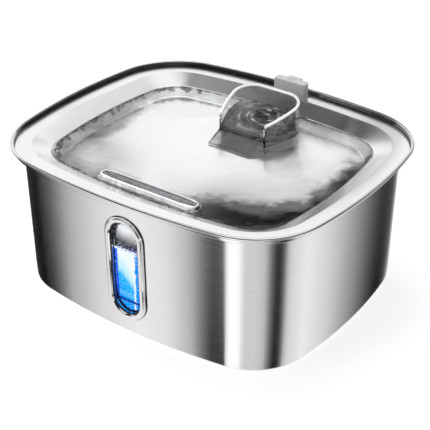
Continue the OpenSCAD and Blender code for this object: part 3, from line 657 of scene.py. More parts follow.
def graded_flag(name, near, far, height, lights):
    """A card over the tray that grades from edge to edge, from points along both edges in millimetres."""
    bm = bmesh.new()
    light = bm.verts.layers.float.new("light")
    columns, rows = len(near) - 1, len(lights) - 1
    for v in bmesh.ops.create_grid(bm, x_segments=columns, y_segments=rows, size=0.5)["verts"]:
        i, k = round((v.co.x + 0.5) * columns), round((v.co.y + 0.5) * rows)
        place = Vector(near[i][:2]).lerp(Vector(far[i][:2]), k / rows)
        fade = min(1.0, 3 * i / columns + 0.15, 3 * (columns - i) / columns + 0.15)
        v.co = Vector((place.x, place.y, height)) * MM
        v[light] = 1 + (lights[k] - 1) * fade
    only_mirrored(link_mesh(name, bm, graded_light(name)), True)


def mirrored_flag(name, near, far, height, lights):
    """A graded flag from the photo's pixels along both edges of the shade that it throws."""
    graded_flag(name, *([over_tray(pixel, height) for pixel in edge] for edge in (near, far)), height, lights)


# Shades and lights on the basin's floor, as pixels of the photo along both of their edges
FRONT_SHADE = (
    [(384, 138), (366, 150), (350, 162), (337, 172), (325, 181), (312, 189), (297, 196), (280, 199),
     (262, 192), (244, 188), (228, 190), (212, 190), (196, 193), (180, 190), (160, 186)],
    [(405, 160), (396, 178), (384, 192), (370, 205), (356, 215), (340, 224), (322, 232), (300, 240),
     (278, 246), (255, 246), (236, 244), (216, 240), (196, 232), (176, 222), (150, 208)])
MIDDLE_LIGHT = (
    [(112, 118), (150, 115), (190, 118), (222, 135), (262, 158), (295, 160), (318, 145), (338, 132)],
    [(125, 160), (150, 172), (190, 182), (228, 188), (262, 192), (298, 188), (330, 172), (358, 148)])
LEFT_SHADE = (
    [(60, 138), (95, 148), (125, 156), (152, 164)],
    [(60, 168), (85, 180), (115, 184), (142, 188)])
mirrored_flag("flag_dark", *FRONT_SHADE, 165, [0.5, 0.1, 0.02, 0, 0, 0])
mirrored_flag("flag_bright", *MIDDLE_LIGHT, 400, [0.95, 1.1, 1.2, 1.2, 1.1, 0.95])
mirrored_flag("flag_left", *LEFT_SHADE, 208, [1, 0.5, 0.3, 0.5, 1])
# What the slope round the basin mirrors, from right of the spout to the back left corner
SLOPE_LIGHT = [0.6, 0.35, 0.1, 0.11, 0.12, 0.2, 0.3, 0.5, 0.2, 0.05, 0.05, 0.15, 0.7] + [1] * 6
LEFT_SLOPE_LIGHT = [0.72, 0.66, 0.66, 0.7]
for name, span, steps, height, lights in (
        ("flag_slope", (-870, -60), (-100, 60, 420, 560), 1000, SLOPE_LIGHT),
        ("flag_left_slope", (-230, 420), (330, 760, 1400, 2400), 1010, LEFT_SLOPE_LIGHT)):
    graded_flag(name, *([(x, y) for y in steps] for x in span), height, lights)
dark_screen("front_screen", -165, 92, 2.6, 0.25, 3.4, 0.015)

soft_lamp("lamp_over", (-0.5, 0.2, 1.6), (0, 0, 0), (1.2, 1.2), 14)
soft_lamp("lamp_front", (-0.9, -1.6, 1.1), (0, 0, 0.05), (0.8, 1.2), 10)

# Finishes

LEVEL_GRAIN, TRAY_GRAIN = (6, 6, 1400), (1100, 9, 9)
tank_steel = brushed_steel("tank_brushed_steel", LEVEL_GRAIN, STEEL_TONE).material
# The lip's inner band is this steel at a far darker tone: painted shade under the tray's ledge.
lip_shade_steel = brushed_steel("lip_painted_shade_steel", LEVEL_GRAIN, 0.22).material
tray_steel = brushed_steel("tray_brushed_steel", TRAY_GRAIN, 0.98, 0.2, 0.28, sideways=False)
tray_steel = paint_basin_glow_and_shade(tray_steel).material
bright_steel = polished_steel("polished_steel")
spout_clear = spout_look("spout_clear")
# Clear rims that glow evenly: a painted highlight.
rim_painted_glow = rim_glow_look("rim_painted_glow")
# Glossy black for the ramp's edge line and dark drops: painted shade.
painted_dark_edge = moulded("painted_dark_edge", (0.02, 0.02, 0.022), 0.1, 0.2, 600)
drain_clear = drain_look("drain_clear")
lens_clear = clear_plastic("lens_clear", (0.9, 0.92, 0.93))
tray_water = basin_water_look("tray_water")
clip_plastic = moulded("clip_grey_plastic", (0.62, 0.63, 0.64))
clip_lips = moulded("clip_lips_silicone", (0.6, 0.61, 0.62), 0.5, 0.65, 600)

# Tank


def tank_wall_offset(z):
    """Offset of the outer wall at a height: it leans in towards its foot."""
    low, high = BASE_Z + BASE_R, UNDER_Z
    return -TAPER * (high - z) / (high - low)


def on_wall(x, z, depth=0.0):
    """A point of the front wall at a width and height, some depth behind its face."""
    r = FRONT_R + tank_wall_offset(z) - depth
    return Vector((x, -(math.sqrt(r * r - x * x) + FRONT_C), z))


def racetrack(t, half_w, half_h):
    """Point of an upright racetrack in the direction of an angle, from its middle."""
    run = half_h - half_w
    c, s = math.cos(t), math.sin(t)
    if abs(s) * half_w <= abs(c) * run:
        return Vector((math.copysign(half_w, c), half_w * s / abs(c)))
    up = math.copysign(run, s)
    along = up * s + math.sqrt(max(0.0, half_w ** 2 - (up * c) ** 2))
    return Vector((along * c, along * s))


# The patch of wall that the window's hole is cut in, and how far the hole stands outside the window
PATCH_LOW, PATCH_HIGH, PATCH_ROWS = 12.5, 113.5, 14
HOLE_GAP = 1.9


def patch_window(bm, wall_rings, depth):
    """Opens the racetrack hole of the window in one face of the wall."""
    ring_of = {v: k for k, ring in enumerate(wall_rings) for v in ring}
    inside = []
    for face in bm.faces:
        if all(v in ring_of for v in face.verts):
            c = face.calc_center_median()
            if c.y < 0 and abs(c.x - MIDDLE_X) < PATCH_HALF - 0.1 and PATCH_LOW < c.z < PATCH_HIGH:
                inside.append(face)
    rim = [e for e in {e for f in inside for e in f.edges} if sum(f in inside for f in e.link_faces) == 1]
    bmesh.ops.delete(bm, geom=inside, context="FACES")
    out = bmesh.ops.extrude_edge_only(bm, edges=rim)["geom"]
    made = new_points(out)
    for v in made:
        t = math.atan2(v.co.z - WINDOW_Z, v.co.x - MIDDLE_X)
        p = racetrack(t, WINDOW_W / 2 + HOLE_GAP, WINDOW_H / 2 + HOLE_GAP)
        v.co = on_wall(MIDDLE_X + p.x, WINDOW_Z + p.y, depth)
    return loop_edges(made)


def make_tank():
    """The tank's sheet from its foot over the step, the lip and the bead, and back down inside."""
    bm = bmesh.new()
    rows = [PATCH_LOW + (PATCH_HIGH - PATCH_LOW) * k / PATCH_ROWS for k in range(PATCH_ROWS + 1)]
    wall_z = [BASE_Z + BASE_R] + rows + [STEP_Z - 5]
    foot = arc_points(-TAPER - BASE_R, BASE_Z + BASE_R, BASE_R, -90, 0, 8)
    outside = [(foot[0][0] - 3, foot[0][1])] + foot[:-1]
    start = len(outside)
    outside += [(tank_wall_offset(z), z) for z in wall_z]
    end = len(outside)
    step = [(tank_wall_offset(120.5), 120.5), (0, UNDER_Z), (LIP_OUT, UNDER_Z), (LIP_OUT, 125.6)]
    outside += rounded(step, [1, 0.8])
    bead = arc_points(BEAD_C, BEAD_Z, BEAD_R, -105, 170, 18)
    step_in = [(LIP_IN, BEAD_Z - 0.3), (LIP_IN, STEP_Z), (-SHEET, STEP_Z), (-SHEET - 0.05, 119.5)]
    inside = rounded(step_in, [0.7, 1.4])
    first_in = len(outside) + len(bead) + len(inside)
    inside += [(tank_wall_offset(z) - SHEET, z) for z in reversed(wall_z)]
    last_in = first_in + len(wall_z)
    foot_in = arc_points(-TAPER - BASE_R, BASE_Z + BASE_R, BASE_R - SHEET, 0, -90, 8)
    inside += foot_in[1:] + [(foot_in[-1][0] - 3, foot_in[-1][1])]
    rings = sweep(bm, len(STATIONS), on_plan, outside + bead + inside)
    outer = patch_window(bm, rings[start:end], 0)
    inner = patch_window(bm, rings[first_in:last_in], SHEET)
    bmesh.ops.bridge_loops(bm, edges=outer + inner)
    close_ends(bm, rings)
    # The faces of the lip's inner band take the darker steel, as painted shade.
    lip_start = len(outside) + len(bead) - 1
    lip = {v for ring in rings[lip_start:lip_start + 7] for v in ring}
    for face in bm.faces:
        face.material_index = int(all(v in lip for v in face.verts))
    tank = finish_piece("tank_body", bm, "tank", tank_steel, ["tank_shell"])
    tank.data.materials.append(lip_shade_steel)


make_tank()

# Drinking tray


def make_tray():
    """The drinking tray: a ledge, a slope and a basin with holes for the spout and the drain."""
    bm = bmesh.new()
    section = [(TRAY_OUT, LEDGE_Z), (-LEDGE_IN + 0.4, LEDGE_Z), (-BASIN_EDGE, WALL_TOP_Z),
               (-27.6, BASIN_Z + 0.4), (-29.6, BASIN_Z)]
    top = rounded(section, [1.8, 3.2, 3], 8)
    under = [(off + 0.12, z - TRAY_SHEET) for off, z in reversed(top)]
    under[-1] = (TRAY_OUT, LEDGE_Z - TRAY_SHEET)
    rings = sweep(bm, len(STATIONS), on_plan, top)
    below = sweep(bm, len(STATIONS), on_plan, under)
    bmesh.ops.bridge_loops(bm, edges=loop_edges(rings[0]) + loop_edges(below[-1]))
    for ring, z in ((rings[-1], BASIN_Z), (below[0], BASIN_Z - TRAY_SHEET)):
        hole = bmesh.ops.create_circle(bm, segments=64, radius=NIPPLE_R + 0.6)["verts"]
        bmesh.ops.translate(bm, vec=(MIDDLE_X, RISER_Y, z), verts=hole)
        cap(bm, ring, hole, drain_slot(bm, z))
    cut_notch(bm, rings[:7], below[:-8:-1])
    finish_piece("drinking_tray_skin", bm, "tray", tray_steel, ["drinking_tray"])


def cut_notch(bm, upper, lower):
    """Opens the ledge where the cable clip stands, and closes the cut round the sheet's thickness."""
    inside = [i for i, (c, r, a) in enumerate(STATIONS)
              if c.y < 0 and math.sin(a) > 0.5 and abs(c.x + r * math.cos(a) - MIDDLE_X) < NOTCH_HALF + 0.1]
    top, low = ([[ring[i] for i in inside] for ring in rings] for rings in (upper, lower))
    for skin in (top, low, (top[0], low[0])):
        corners = {v for row in skin for v in row}
        bmesh.ops.delete(bm, geom=[f for f in bm.faces if corners.issuperset(f.verts)], context="FACES_ONLY")
    for k in range(len(inside) - 1):
        bm.faces.new((top[-1][k], top[-1][k + 1], low[-1][k + 1], low[-1][k]))
    for j in range(len(top) - 1):
        for k in (0, -1):
            bm.faces.new((top[j][k], top[j + 1][k], low[j + 1][k], low[j][k]))


def round_drain(i, count, out, z):
    """Point round the drain: so far outside its collar, at a height."""
    p = racetrack(2 * math.pi * i / count, DRAIN_HALF_D + out, DRAIN_HALF_W + out)
    return Vector((p.y, DRAIN_Y + p.x, z))


def drain_slot(bm, z, count=48):
    """A ring of points just inside the collar's face, where the basin's floor is open."""
    ring = bmesh.ops.create_circle(bm, segments=count, radius=1)["verts"]
    for i, v in enumerate(ring):
        v.co = round_drain(i, count, -1.45, z)
    return ring


make_tray()

# Sight window

WINDOW_LEAN = math.atan(TAPER / (UNDER_Z - BASE_Z - BASE_R))
WINDOW_MIDDLE = on_wall(0, WINDOW_Z) + Vector((MIDDLE_X, 0, 0))
WINDOW_PLACE = Matrix.Translation(WINDOW_MIDDLE) @ Matrix.Rotation(WINDOW_LEAN, 4, "X")
WINDOW_POINTS = 112


def round_window(i, out, stand):
    """Point round the window's opening: so far outside its edge, standing so far out of the wall."""
    p = racetrack(2 * math.pi * (i + 0.5) / WINDOW_POINTS, WINDOW_W / 2 + out, WINDOW_H / 2 + out)
    return WINDOW_PLACE @ Vector((p.x, -stand, p.y))


def make_bezel():
    """The raised bezel, whose sleeve reaches through the wall."""
    bm = bmesh.new()
    face = [(5.2, -0.35), (5.2, 1.1), (3.9, 1.3), (3.5, 2.5), (0.9, 2.5), (0, 1.2)]
    sleeve = [(0, -3.34), (1.6, -3.34)]
    profile = rounded(face + sleeve, [0.7, 0.3, 0.7, 0.7, 0.5, 0], 4) + [(1.6, -0.35)]
    sweep(bm, WINDOW_POINTS, round_window, profile, closed=True)
    finish_piece("window_bezel_ring", bm, "tank", bright_steel, ["window_bezel"], 50)


def make_pane():
    """The clear pane with its flange behind the wall."""
    bm = bmesh.new()
    section = [(-4, 1.25), (-0.32, 1.25), (-0.32, -3.5), (5.1, -3.5), (5.1, -4.9), (-4, -4.9)]
    rings = sweep(bm, WINDOW_POINTS, round_window, rounded(section, [0.9, 0, 0, 0]))
    close_ends(bm, rings)
    finish_piece("window_pane", bm, "tank", window_clear, ["window_lens"])


def make_shade_ring(name, profile):
    """A thin black ring round the window: painted shade along an edge that shows dark."""
    bm = bmesh.new()
    sweep(bm, WINDOW_POINTS, round_window, profile, closed=True)
    finish_piece(name, bm, "tank", black_shade_ring)


window_clear = clear_plastic("window_clear", (0.96, 0.98, 1.0), 1.12)
black_shade_ring = moulded("black_shade_ring", (0.01, 0.01, 0.012), 0.4, 0.6, 700)
make_bezel()
make_pane()
make_shade_ring("window_edge_shade_ring", [(-0.3, 0.95), (-0.3, -0.7), (-0.7, -0.7), (-0.7, 0.95)])
make_shade_ring("bezel_foot_shade_ring", [(5.1, 0.3), (5.1, -0.3), (5.6, -0.3), (5.6, 0.3)])

# Spout

# The cup: half widths, front and back, corner, wall, and heights of its floor, its dam and its rim
CUP_HALF, CUP_FRONT_HALF, CUP_FRONT_Y, CUP_BACK_Y, CUP_CORNER = 32.2, 23.6, 40, 91, 18
CUP_WALL, PLATE_Z, DAM_Z = 2, 106.3, 118
CUP_FRONT_Z, CUP_BACK_Z = 130, 140
RIM_BEAD, EDGE_R = 1.3, 0.5
# The ramp's run, its half width and the height of its lip, and the place where the sheet of water ends
RAMP_RUN, LIP_HALF, LIP_Z = 20, 20.7, 106.7
SHEET_END = 34.4


def cup_line(inset):
    """The cup's plan from its left front end round the back to its right one."""
    side_steps, turn_steps = 10, 12
    a = Vector((CUP_FRONT_HALF - inset, CUP_FRONT_Y))
    c = Vector((CUP_HALF - inset, CUP_BACK_Y - CUP_CORNER))
    b = Vector((CUP_HALF - 0.1 * CUP_CORNER - inset, (a.y + c.y) / 2))
    middle = Vector((CUP_HALF - CUP_CORNER, CUP_BACK_Y - CUP_CORNER))
    half = []
    for i in range(side_steps):
        t = i / side_steps
        half.append((1 - t) ** 2 * a + 2 * t * (1 - t) * b + t * t * c)
    for i in range(turn_steps + 1):
        t = 0.5 * math.pi * i / turn_steps
        half.append(middle + (CUP_CORNER - inset) * Vector((math.cos(t), math.sin(t))))
    for k in (0.6, 0.2):
        half.append(Vector((middle.x * k, CUP_BACK_Y - inset)))
    left = [Vector((-p.x, p.y)) for p in half]
    return left + half[::-1]


def cup_outline(inset):
    """Closed plan of the cup, straight across its open front."""
    return [(MIDDLE_X + p.x, p.y) for p in cup_line(inset)]


def rim_height(y):
    """The cup's rim rises from its front ends to its back."""
    t = (y - CUP_FRONT_Y) / (CUP_BACK_Y - CUP_FRONT_Y)
    return CUP_FRONT_Z + (CUP_BACK_Z - CUP_FRONT_Z) * t


def make_cup_wall():
    """The cup's wall, from shares of its height on both faces and millimetres over its top between them."""
    bm = bmesh.new()
    shares = (0.0, 0.3, 0.6, 0.85, 1.0)
    rim = [(0.3, 0.7), (1.0, 1.0), (1.7, 0.7)]
    section = [(0, up) for up in shares] + rim + [(CUP_WALL, up) for up in reversed(shares)]
    lines = {inset: cup_line(inset) for inset, up in section}

    def place(i, k):
        inset, up = section[i]
        p = lines[inset][k]
        foot, top = PLATE_Z + 0.5, rim_height(lines[0][k].y) - 1.0
        z = top + up if 0 < inset < CUP_WALL else foot + (top - foot) * up
        return Vector((MIDDLE_X + p.x, p.y, z))

    rings = sweep(bm, len(section), place, [(k,) for k in range(len(lines[0]))])
    close_ends(bm, rings)
    return plain_object("cup_wall", bm)


def solid(name, points, by):
    """A flat ring of points, filled and extruded by a vector."""
    bm = bmesh.new()
    ring = bmesh.ops.create_circle(bm, segments=len(points), radius=1, cap_ends=True)["verts"]
    for v, p in zip(ring, points):
        v.co = p
    thicken(bm, by)
    return plain_object(name, bm)


def slab(name, outline, low, high):
    """A flat outline with a thickness."""
    return solid(name, [Vector((x, y, low)) for x, y in outline], (0, 0, high - low))


def pipe(name, x, y, r, low, high, count=48):
    """An upright round bar."""
    return slab(name, [(x + r * math.cos(2 * math.pi * i / count), y + r * math.sin(2 * math.pi * i / count))
                       for i in range(count)], low, high)


def carve(base, tools, kind="UNION"):
    """Joins tools to a base, cuts them out of it or keeps what both share, and drops the tools."""
    for tool in tools:
        step = base.modifiers.new("join", "BOOLEAN")
        step.operation = kind
        step.solver = "EXACT"
        step.object = tool
        bpy.context.view_layer.update()
        done = bpy.data.meshes.new_from_object(base.evaluated_get(bpy.context.evaluated_depsgraph_get()))
        base.modifiers.clear()
        base.data = done
        bpy.data.objects.remove(tool)
    return base


def as_bmesh(piece):
    """The mesh of a plain object, which is then dropped."""
    bm = bmesh.new()
    bm.from_mesh(piece.data)
    bpy.data.objects.remove(piece)
    return bm


def ramp_tool(name, wide=0.0, drop=0.0):
    """The dam and the ramp in front of it, seen from the side and laid across the spout."""
    back, front, tip = CUP_FRONT_Y + CUP_WALL, CUP_FRONT_Y - 1, CUP_FRONT_Y - RAMP_RUN
    side = rounded([(back, DAM_Z - 2), (back, DAM_Z), (front, DAM_Z), (tip, LIP_Z), (tip, LIP_Z - 1.2),
                    (front, DAM_Z - 3), (CUP_FRONT_Y, DAM_Z - 4)], [0.8, 1.5, 0.5, 0.5, 0.5])
    side += [(CUP_FRONT_Y, PLATE_Z + 0.3), (back, PLATE_Z + 0.3)]
    half = LIP_HALF + wide
    return solid(name, [Vector((MIDDLE_X - half, y + drop, z - drop)) for y, z in side], (2 * half, 0, 0))


def make_spout():
    """The cup with its floor, its ramp and the nipple that the water rises through."""
    floor = slab("cup_floor", cup_outline(0), PLATE_Z, PLATE_Z + 2)
    nipple = pipe("nipple", MIDDLE_X, RISER_Y, NIPPLE_R, PLATE_Z - 14, PLATE_Z + 1)
    bore = pipe("nipple_bore", MIDDLE_X, RISER_Y, NIPPLE_BORE_R, PLATE_Z - 15, PLATE_Z + 3)
    spout = carve(floor, [make_cup_wall(), ramp_tool("cup_ramp"), nipple])
    carve(spout, [bore], "DIFFERENCE")
    finish_piece("spout_cup", as_bmesh(spout), "spout", spout_clear, ["spout"], 40)


def make_rim_bead():
    """The thick rounded rim of the cup, which glows as a painted highlight."""
    line = cup_line(1.0)
    bm = bmesh.new()

    def place(i, k):
        ahead, behind = line[min(k + 1, len(line) - 1)], line[max(k - 1, 0)]
        side = Vector((behind.y - ahead.y, ahead.x - behind.x)).normalized()
        t = 2 * math.pi * i / 12
        spot = line[k] + RIM_BEAD * math.cos(t) * side
        return Vector((MIDDLE_X + spot.x, spot.y, rim_height(line[k].y) + RIM_BEAD * (math.sin(t) - 1)))

    rings = sweep(bm, 12, place, [(k,) for k in range(len(line))])
    close_ends(bm, rings)
    finish_piece("spout_rim_bead", bm, "spout", rim_painted_glow, sharp=40)


def make_ramp_edge():
    """A glossy black tube round the ramp's edge: a painted dark line where the clear edge shows dark."""
    half, high = LIP_HALF + 0.05, CUP_FRONT_Y - 1
    path = [Vector((-half, high, DAM_Z)), Vector((-half, CUP_FRONT_Y - RAMP_RUN, LIP_Z)),
            Vector((half, CUP_FRONT_Y - RAMP_RUN, LIP_Z)), Vector((half, high, DAM_Z))]
    bm = bmesh.new()

    def place(i, k):
        ahead, behind = path[min(k + 1, 3)], path[max(k - 1, 0)]
        way = (ahead - behind).normalized()
        side = way.cross(Vector((0, 0, 1))).normalized()
        up = side.cross(way)
        t = 2 * math.pi * i / 6
        spot = path[k] + EDGE_R * (math.cos(t) * side + math.sin(t) * up)
        return Vector((MIDDLE_X + spot.x, spot.y, spot.z))

    rings = sweep(bm, 6, place, [(k,) for k in range(4)])
    close_ends(bm, rings)
    finish_piece("spout_ramp_edge", bm, "spout", painted_dark_edge)


def wave(x, y, size, seed=0.0):
    """Smooth noise between -1 and 1 with waves of about that size."""
    return noise.noise(Vector((x / size, y / size, seed)))


def make_splash(name, side, seeds, material):
    """Small drops that cling to a front end of the cup's wall, where the water spills over."""
    bm = bmesh.new()
    for seed in seeds:
        drift = noise.noise_vector(Vector((seed * 3.7, side, 0.5)))
        size = 0.55 + 0.35 * abs(drift.x)
        across = CUP_FRONT_HALF - 1 + 1.6 * drift.y
        up = DAM_Z + 0.6 + 1.05 * (seed % 10)
        spot = Vector((MIDDLE_X + side * across, CUP_FRONT_Y - 0.2 + 0.8 * drift.z, up))
        for v in bmesh.ops.create_icosphere(bm, subdivisions=2, radius=size)["verts"]:
            uneven = 1 + 0.3 * wave(v.co.x + seed, v.co.z, 0.8)
            v.co = Vector((v.co.x, v.co.y, 1.7 * v.co.z)) * uneven + spot
    finish_piece(name, bm, "spout", material)


make_spout()
make_rim_bead()
make_ramp_edge()
# Drops in glossy black are painted dark reflections; drops that glow are painted glints.
for side, end in ((-1, "left"), (1, "right")):
    make_splash(f"splash_painted_dark_{end}", side, (0, 2, 3, 5, 11, 14), painted_dark_edge)
    make_splash(f"splash_painted_glint_{end}", side, (1, 4, 6, 12, 13), rim_painted_glow)

# Drain collar


def drain_ring(name, profile, material, nodes=(), sharp=35):
    """A clear piece that runs round the drain, from its profile."""
    bm = bmesh.new()
    sweep(bm, DRAIN_POINTS, lambda i, out, z: round_drain(i, DRAIN_POINTS, out, z), profile, closed=True)
    finish_piece(name, bm, "drain", material, nodes, sharp)


def make_drain():
    """The collar, which stands through the basin's floor, with its flange over the water's level."""
    foot, top = BASIN_Z + 0.3, 119.2
    outside = [(-1.6, foot - 6), (-1.6, foot), (0, foot)]
    flange = [(0, 114.4), (1.2, 114.6), (1.7, 115), (1.7, 115.6), (1.2, 116), (0, 116.3)]
    rim = [(0, top - 0.7), (-0.25, top - 0.2), (-0.8, top), (-1.35, top - 0.2), (-1.6, top - 0.7)]
    inside = [(-1.6, foot + 1.4), (-2.9, foot + 1.4), (-2.9, foot - 6)]
    drain_ring("drain_collar", outside + flange + rim + inside, drain_clear, ["drain_insert"], 50)


def drain_bead(name, out, z, r):
    """A bright rounded edge round the collar, which glows as a painted highlight."""
    turns = (math.pi * k / 5 for k in range(10))
    drain_ring(name, [(out + r * math.cos(t), z + r * math.sin(t)) for t in turns], rim_painted_glow)


make_drain()
drain_bead("drain_rim_bead", -0.8, 118.6, 0.62)
drain_bead("drain_flange_bead", 1.2, 115.3, 0.5)

# Cable clip


def make_clip():
    """The clip's block: wide towards the basin, with a narrow back and a round passage for the cord."""
    front = HALF_D - LEDGE_IN + 0.48
    shoulder, back = front + 8.8, front + 12.6
    low, high = STEP_Z + 0.3, STEP_Z + 15.1
    right = [(0, front), (16.3, front), (16.3, shoulder), (7, shoulder), (7, back)]
    left = [(-7, back), (-7, shoulder), (-16.3, shoulder), (-16.3, front), (-0.01, front)]
    outline = rounded(right + left, [2.4, 4.4, 0.8, 2.4, 2.4, 0.8, 4.4, 2.4], 6)
    bm = as_bmesh(slab("clip_block", [(MIDDLE_X + x, y) for x, y in outline], low, high))
    rim = [e for e in bm.edges if len(e.link_faces) == 2 and e.calc_face_angle(0) > 1.2
           and all(abs(v.co.z - high) < 0.01 for v in e.verts)]
    bmesh.ops.bevel(bm, geom=rim, offset=0.9, segments=4, profile=0.5, affect="EDGES", material=-1)
    bore = pipe("clip_bore", MIDDLE_X, CLIP_Y, CLIP_BORE_R, low - 1, high + 1)
    clip = as_bmesh(carve(plain_object("clip_body", bm), [bore], "DIFFERENCE"))
    finish_piece("cable_clip_block", clip, "clip", clip_plastic, ["cable_clip"], 40)


def make_clip_lips():
    """Two soft half discs that close the clip's passage round a cord."""
    bm = bmesh.new()
    for side in (-1, 1):
        made = bmesh.ops.create_circle(bm, segments=48, radius=CLIP_BORE_R - 0.05, cap_ends=True)["verts"]
        for v in made:
            v.co = Vector((MIDDLE_X + v.co.x, max(v.co.y, 0.08) if side > 0 else min(v.co.y, -0.08), 0))
    bmesh.ops.remove_doubles(bm, verts=bm.verts, dist=0.001)
    thicken(bm, (0, 0, -0.7))
    bmesh.ops.translate(bm, vec=(0, CLIP_Y, STEP_Z + 14.9), verts=bm.verts)
    finish_piece("clip_soft_lips", bm, "clip", clip_lips)


make_clip()
make_clip_lips()

# Water


def water_block(name, x_span, y_span, cell, top, bottom):
    """A block of water with a rippled top: top and bottom heights are functions of the place."""
    bm = bmesh.new()
    nx, ny = (int(round((span[1] - span[0]) / cell)) for span in (x_span, y_span))
    made = bmesh.ops.create_grid(bm, x_segments=nx, y_segments=ny, size=0.5)["verts"]
    for v in made:
        v.co.x = x_span[0] + (v.co.x + 0.5) * (x_span[1] - x_span[0])
        v.co.y = y_span[0] + (v.co.y + 0.5) * (y_span[1] - y_span[0])
    lower = set(new_points(bmesh.ops.extrude_face_region(bm, geom=bm.faces[:])["geom"]))
    for v in bm.verts:
        v.co.z = bottom(v.co.x, v.co.y) if v in lower else top(v.co.x, v.co.y)
    return plain_object(name, bm)


def basin_level(x, y):
    """Height of the water in the basin: calm in the middle, rings off the ramp, choppy near its shore."""
    shore = max(0.0, min(1.0, (reach(x, y) - 0.84) / 0.12))
    fall = math.hypot(x - MIDDLE_X, (y - 15) * 1.2)
    rings = 0.1 * math.sin(fall / 2.6) * math.exp(-fall / 22)
    choppy = 0.7 * wave(x, y, 9, 3.1) + 0.35 * wave(x, y, 4.5, 7.7)
    return WATER_Z + 0.2 * wave(x, y, 26) + 0.05 * wave(x, y, 11, 5.2) + rings + shore * choppy


def filled_sweep(name, profile):
    """A solid of the tank's plan from a profile, closed at both ends."""
    bm = bmesh.new()
    rings = sweep(bm, len(STATIONS), on_plan, profile)
    close_ends(bm, rings)
    return plain_object(name, bm)


# Water keeps this far off what it touches, and rooms that are cut out of it reach over all of its height
GAP = 0.15
ROOM = (100, 130)


def oblong(half, front, back):
    """A rectangle across the spout's middle."""
    return [(MIDDLE_X + x, y) for x, y in ((-half, front), (half, front), (half, back), (-half, back))]


def make_basin_water():
    """The water in the basin, round the spout and the drain."""
    shore = [(-29.6, BASIN_Z + 0.2), (-28.5, 105.6), (-27, 107.1), (-22.4, 116.6), (-21.4, 117.4 + GAP),
             (-LEDGE_IN, LEDGE_Z + GAP)]
    block = water_block("basin_block", (-130, 130), (-108, 108), 2.4, basin_level, lambda x, y: ROOM[0])
    carve(block, [filled_sweep("basin_room", shore)], "INTERSECT")
    drain = [round_drain(i, 64, 2 - GAP, 0).xy for i in range(64)]
    rooms = [slab("cup_room", cup_outline(GAP), *ROOM),
             slab("sheet_room", oblong(LIP_HALF - GAP, SHEET_END, CUP_FRONT_Y + 3), *ROOM),
             ramp_tool("ramp_room", -GAP, 0.12),
             slab("drain_room", drain, *ROOM)]
    carve(block, rooms, "DIFFERENCE")
    finish_piece("basin_water", as_bmesh(block), "tray", tray_water, sharp=60)


# Middle of the swirl in the cup, and the level of the cup's water
SWIRL, CUP_WATER_Z = Vector((6, 66)), 123.6


def cup_level(x, y):
    """Height of the swirling water in the cup and of the sheet that runs down the ramp."""
    d = Vector((x, y)) - SWIRL
    r, turn = d.length, math.atan2(d.y, d.x)
    spiral = 0.9 * math.sin(turn + r / 2.1) * math.exp(-((r - 9) / 11) ** 2)
    funnel = -5.5 * math.exp(-(r / 5.5) ** 2)
    level = CUP_WATER_Z + funnel + spiral + 0.6 * wave(x, y, 8, 1.3) + 0.3 * wave(x, y, 3.5, 4.4)
    calm, run = CUP_FRONT_Y + 19, 16
    if y < calm:
        t = min(1.0, (calm - y) / run)
        level += t * (DAM_Z + 2.2 + 0.25 * wave(x, y, 5, 2.2) - level)
    if y < CUP_FRONT_Y - 1:
        t = (CUP_FRONT_Y - 1 - y) / (RAMP_RUN - 1)
        sheet = DAM_Z + 1.6 + (LIP_Z - DAM_Z) * t
        level = sheet + 0.35 * wave(x * 1.6, y * 0.5, 4, 6.1) - 0.5 * t
    return level


def cup_bed(x, y):
    """Height of what the cup's water lies on."""
    if y > CUP_FRONT_Y + 2.2:
        return PLATE_Z + 2 + GAP
    if y > CUP_FRONT_Y - 1:
        return DAM_Z + GAP
    return DAM_Z + GAP + (LIP_Z - DAM_Z) * (CUP_FRONT_Y - 1 - y) / (RAMP_RUN - 1)


def make_cup_water():
    """The water in the cup and the sheet of it on the ramp."""
    width, depth = (MIDDLE_X - 32, MIDDLE_X + 32), (SHEET_END + 0.1, CUP_BACK_Y)
    block = water_block("cup_block", width, depth, 1.2, cup_level, cup_bed)
    room = slab("cup_water_room", cup_outline(CUP_WALL + GAP), *ROOM)
    carve(room, [slab("ramp_water_room", oblong(LIP_HALF - 0.3, 10, CUP_FRONT_Y + CUP_WALL), *ROOM)])
    carve(block, [room], "INTERSECT")
    finish_piece("cup_water", as_bmesh(block), "spout", spout_water, sharp=60)


TANK_WATER_Z = 77


def racetrack_block(name, out, near, far):
    """A block behind the window's opening, from one depth to another."""
    bm = bmesh.new()
    rings = sweep(bm, WINDOW_POINTS, round_window, [(out, -near), (out, -far)])
    close_ends(bm, rings)
    return plain_object(name, bm)


def tank_level(x, y):
    """Height of the water in the tank, with ripples along the window."""
    near = math.exp(-max(0, y + 112) / 14)
    return TANK_WATER_Z + 0.5 * wave(x, y, 20, 8) + 0.9 * wave(x, y, 6, 9) * near


def make_tank_water():
    """The water in the tank, which reaches up to the pane through the window's hole."""
    floor = BASE_Z + SHEET + GAP
    room = filled_sweep("tank_room", [(-TAPER - BASE_R - 1, floor), (-TAPER - BASE_R, floor),
                                      (-TAPER - SHEET - GAP, BASE_Z + BASE_R + 0.5), (-SHEET - 0.3, 118)])
    carve(room, [racetrack_block("window_room", 5.7, -8, 7.4)], "DIFFERENCE")
    carve(room, [racetrack_block("window_plug", -0.3, 5.1, 9)])
    block = water_block("tank_block", (-145, 145), (-122, 122), 5, tank_level, lambda x, y: -5)
    carve(block, [room], "INTERSECT")
    finish_piece("tank_water", as_bmesh(block), "tank", tank_water, sharp=60)


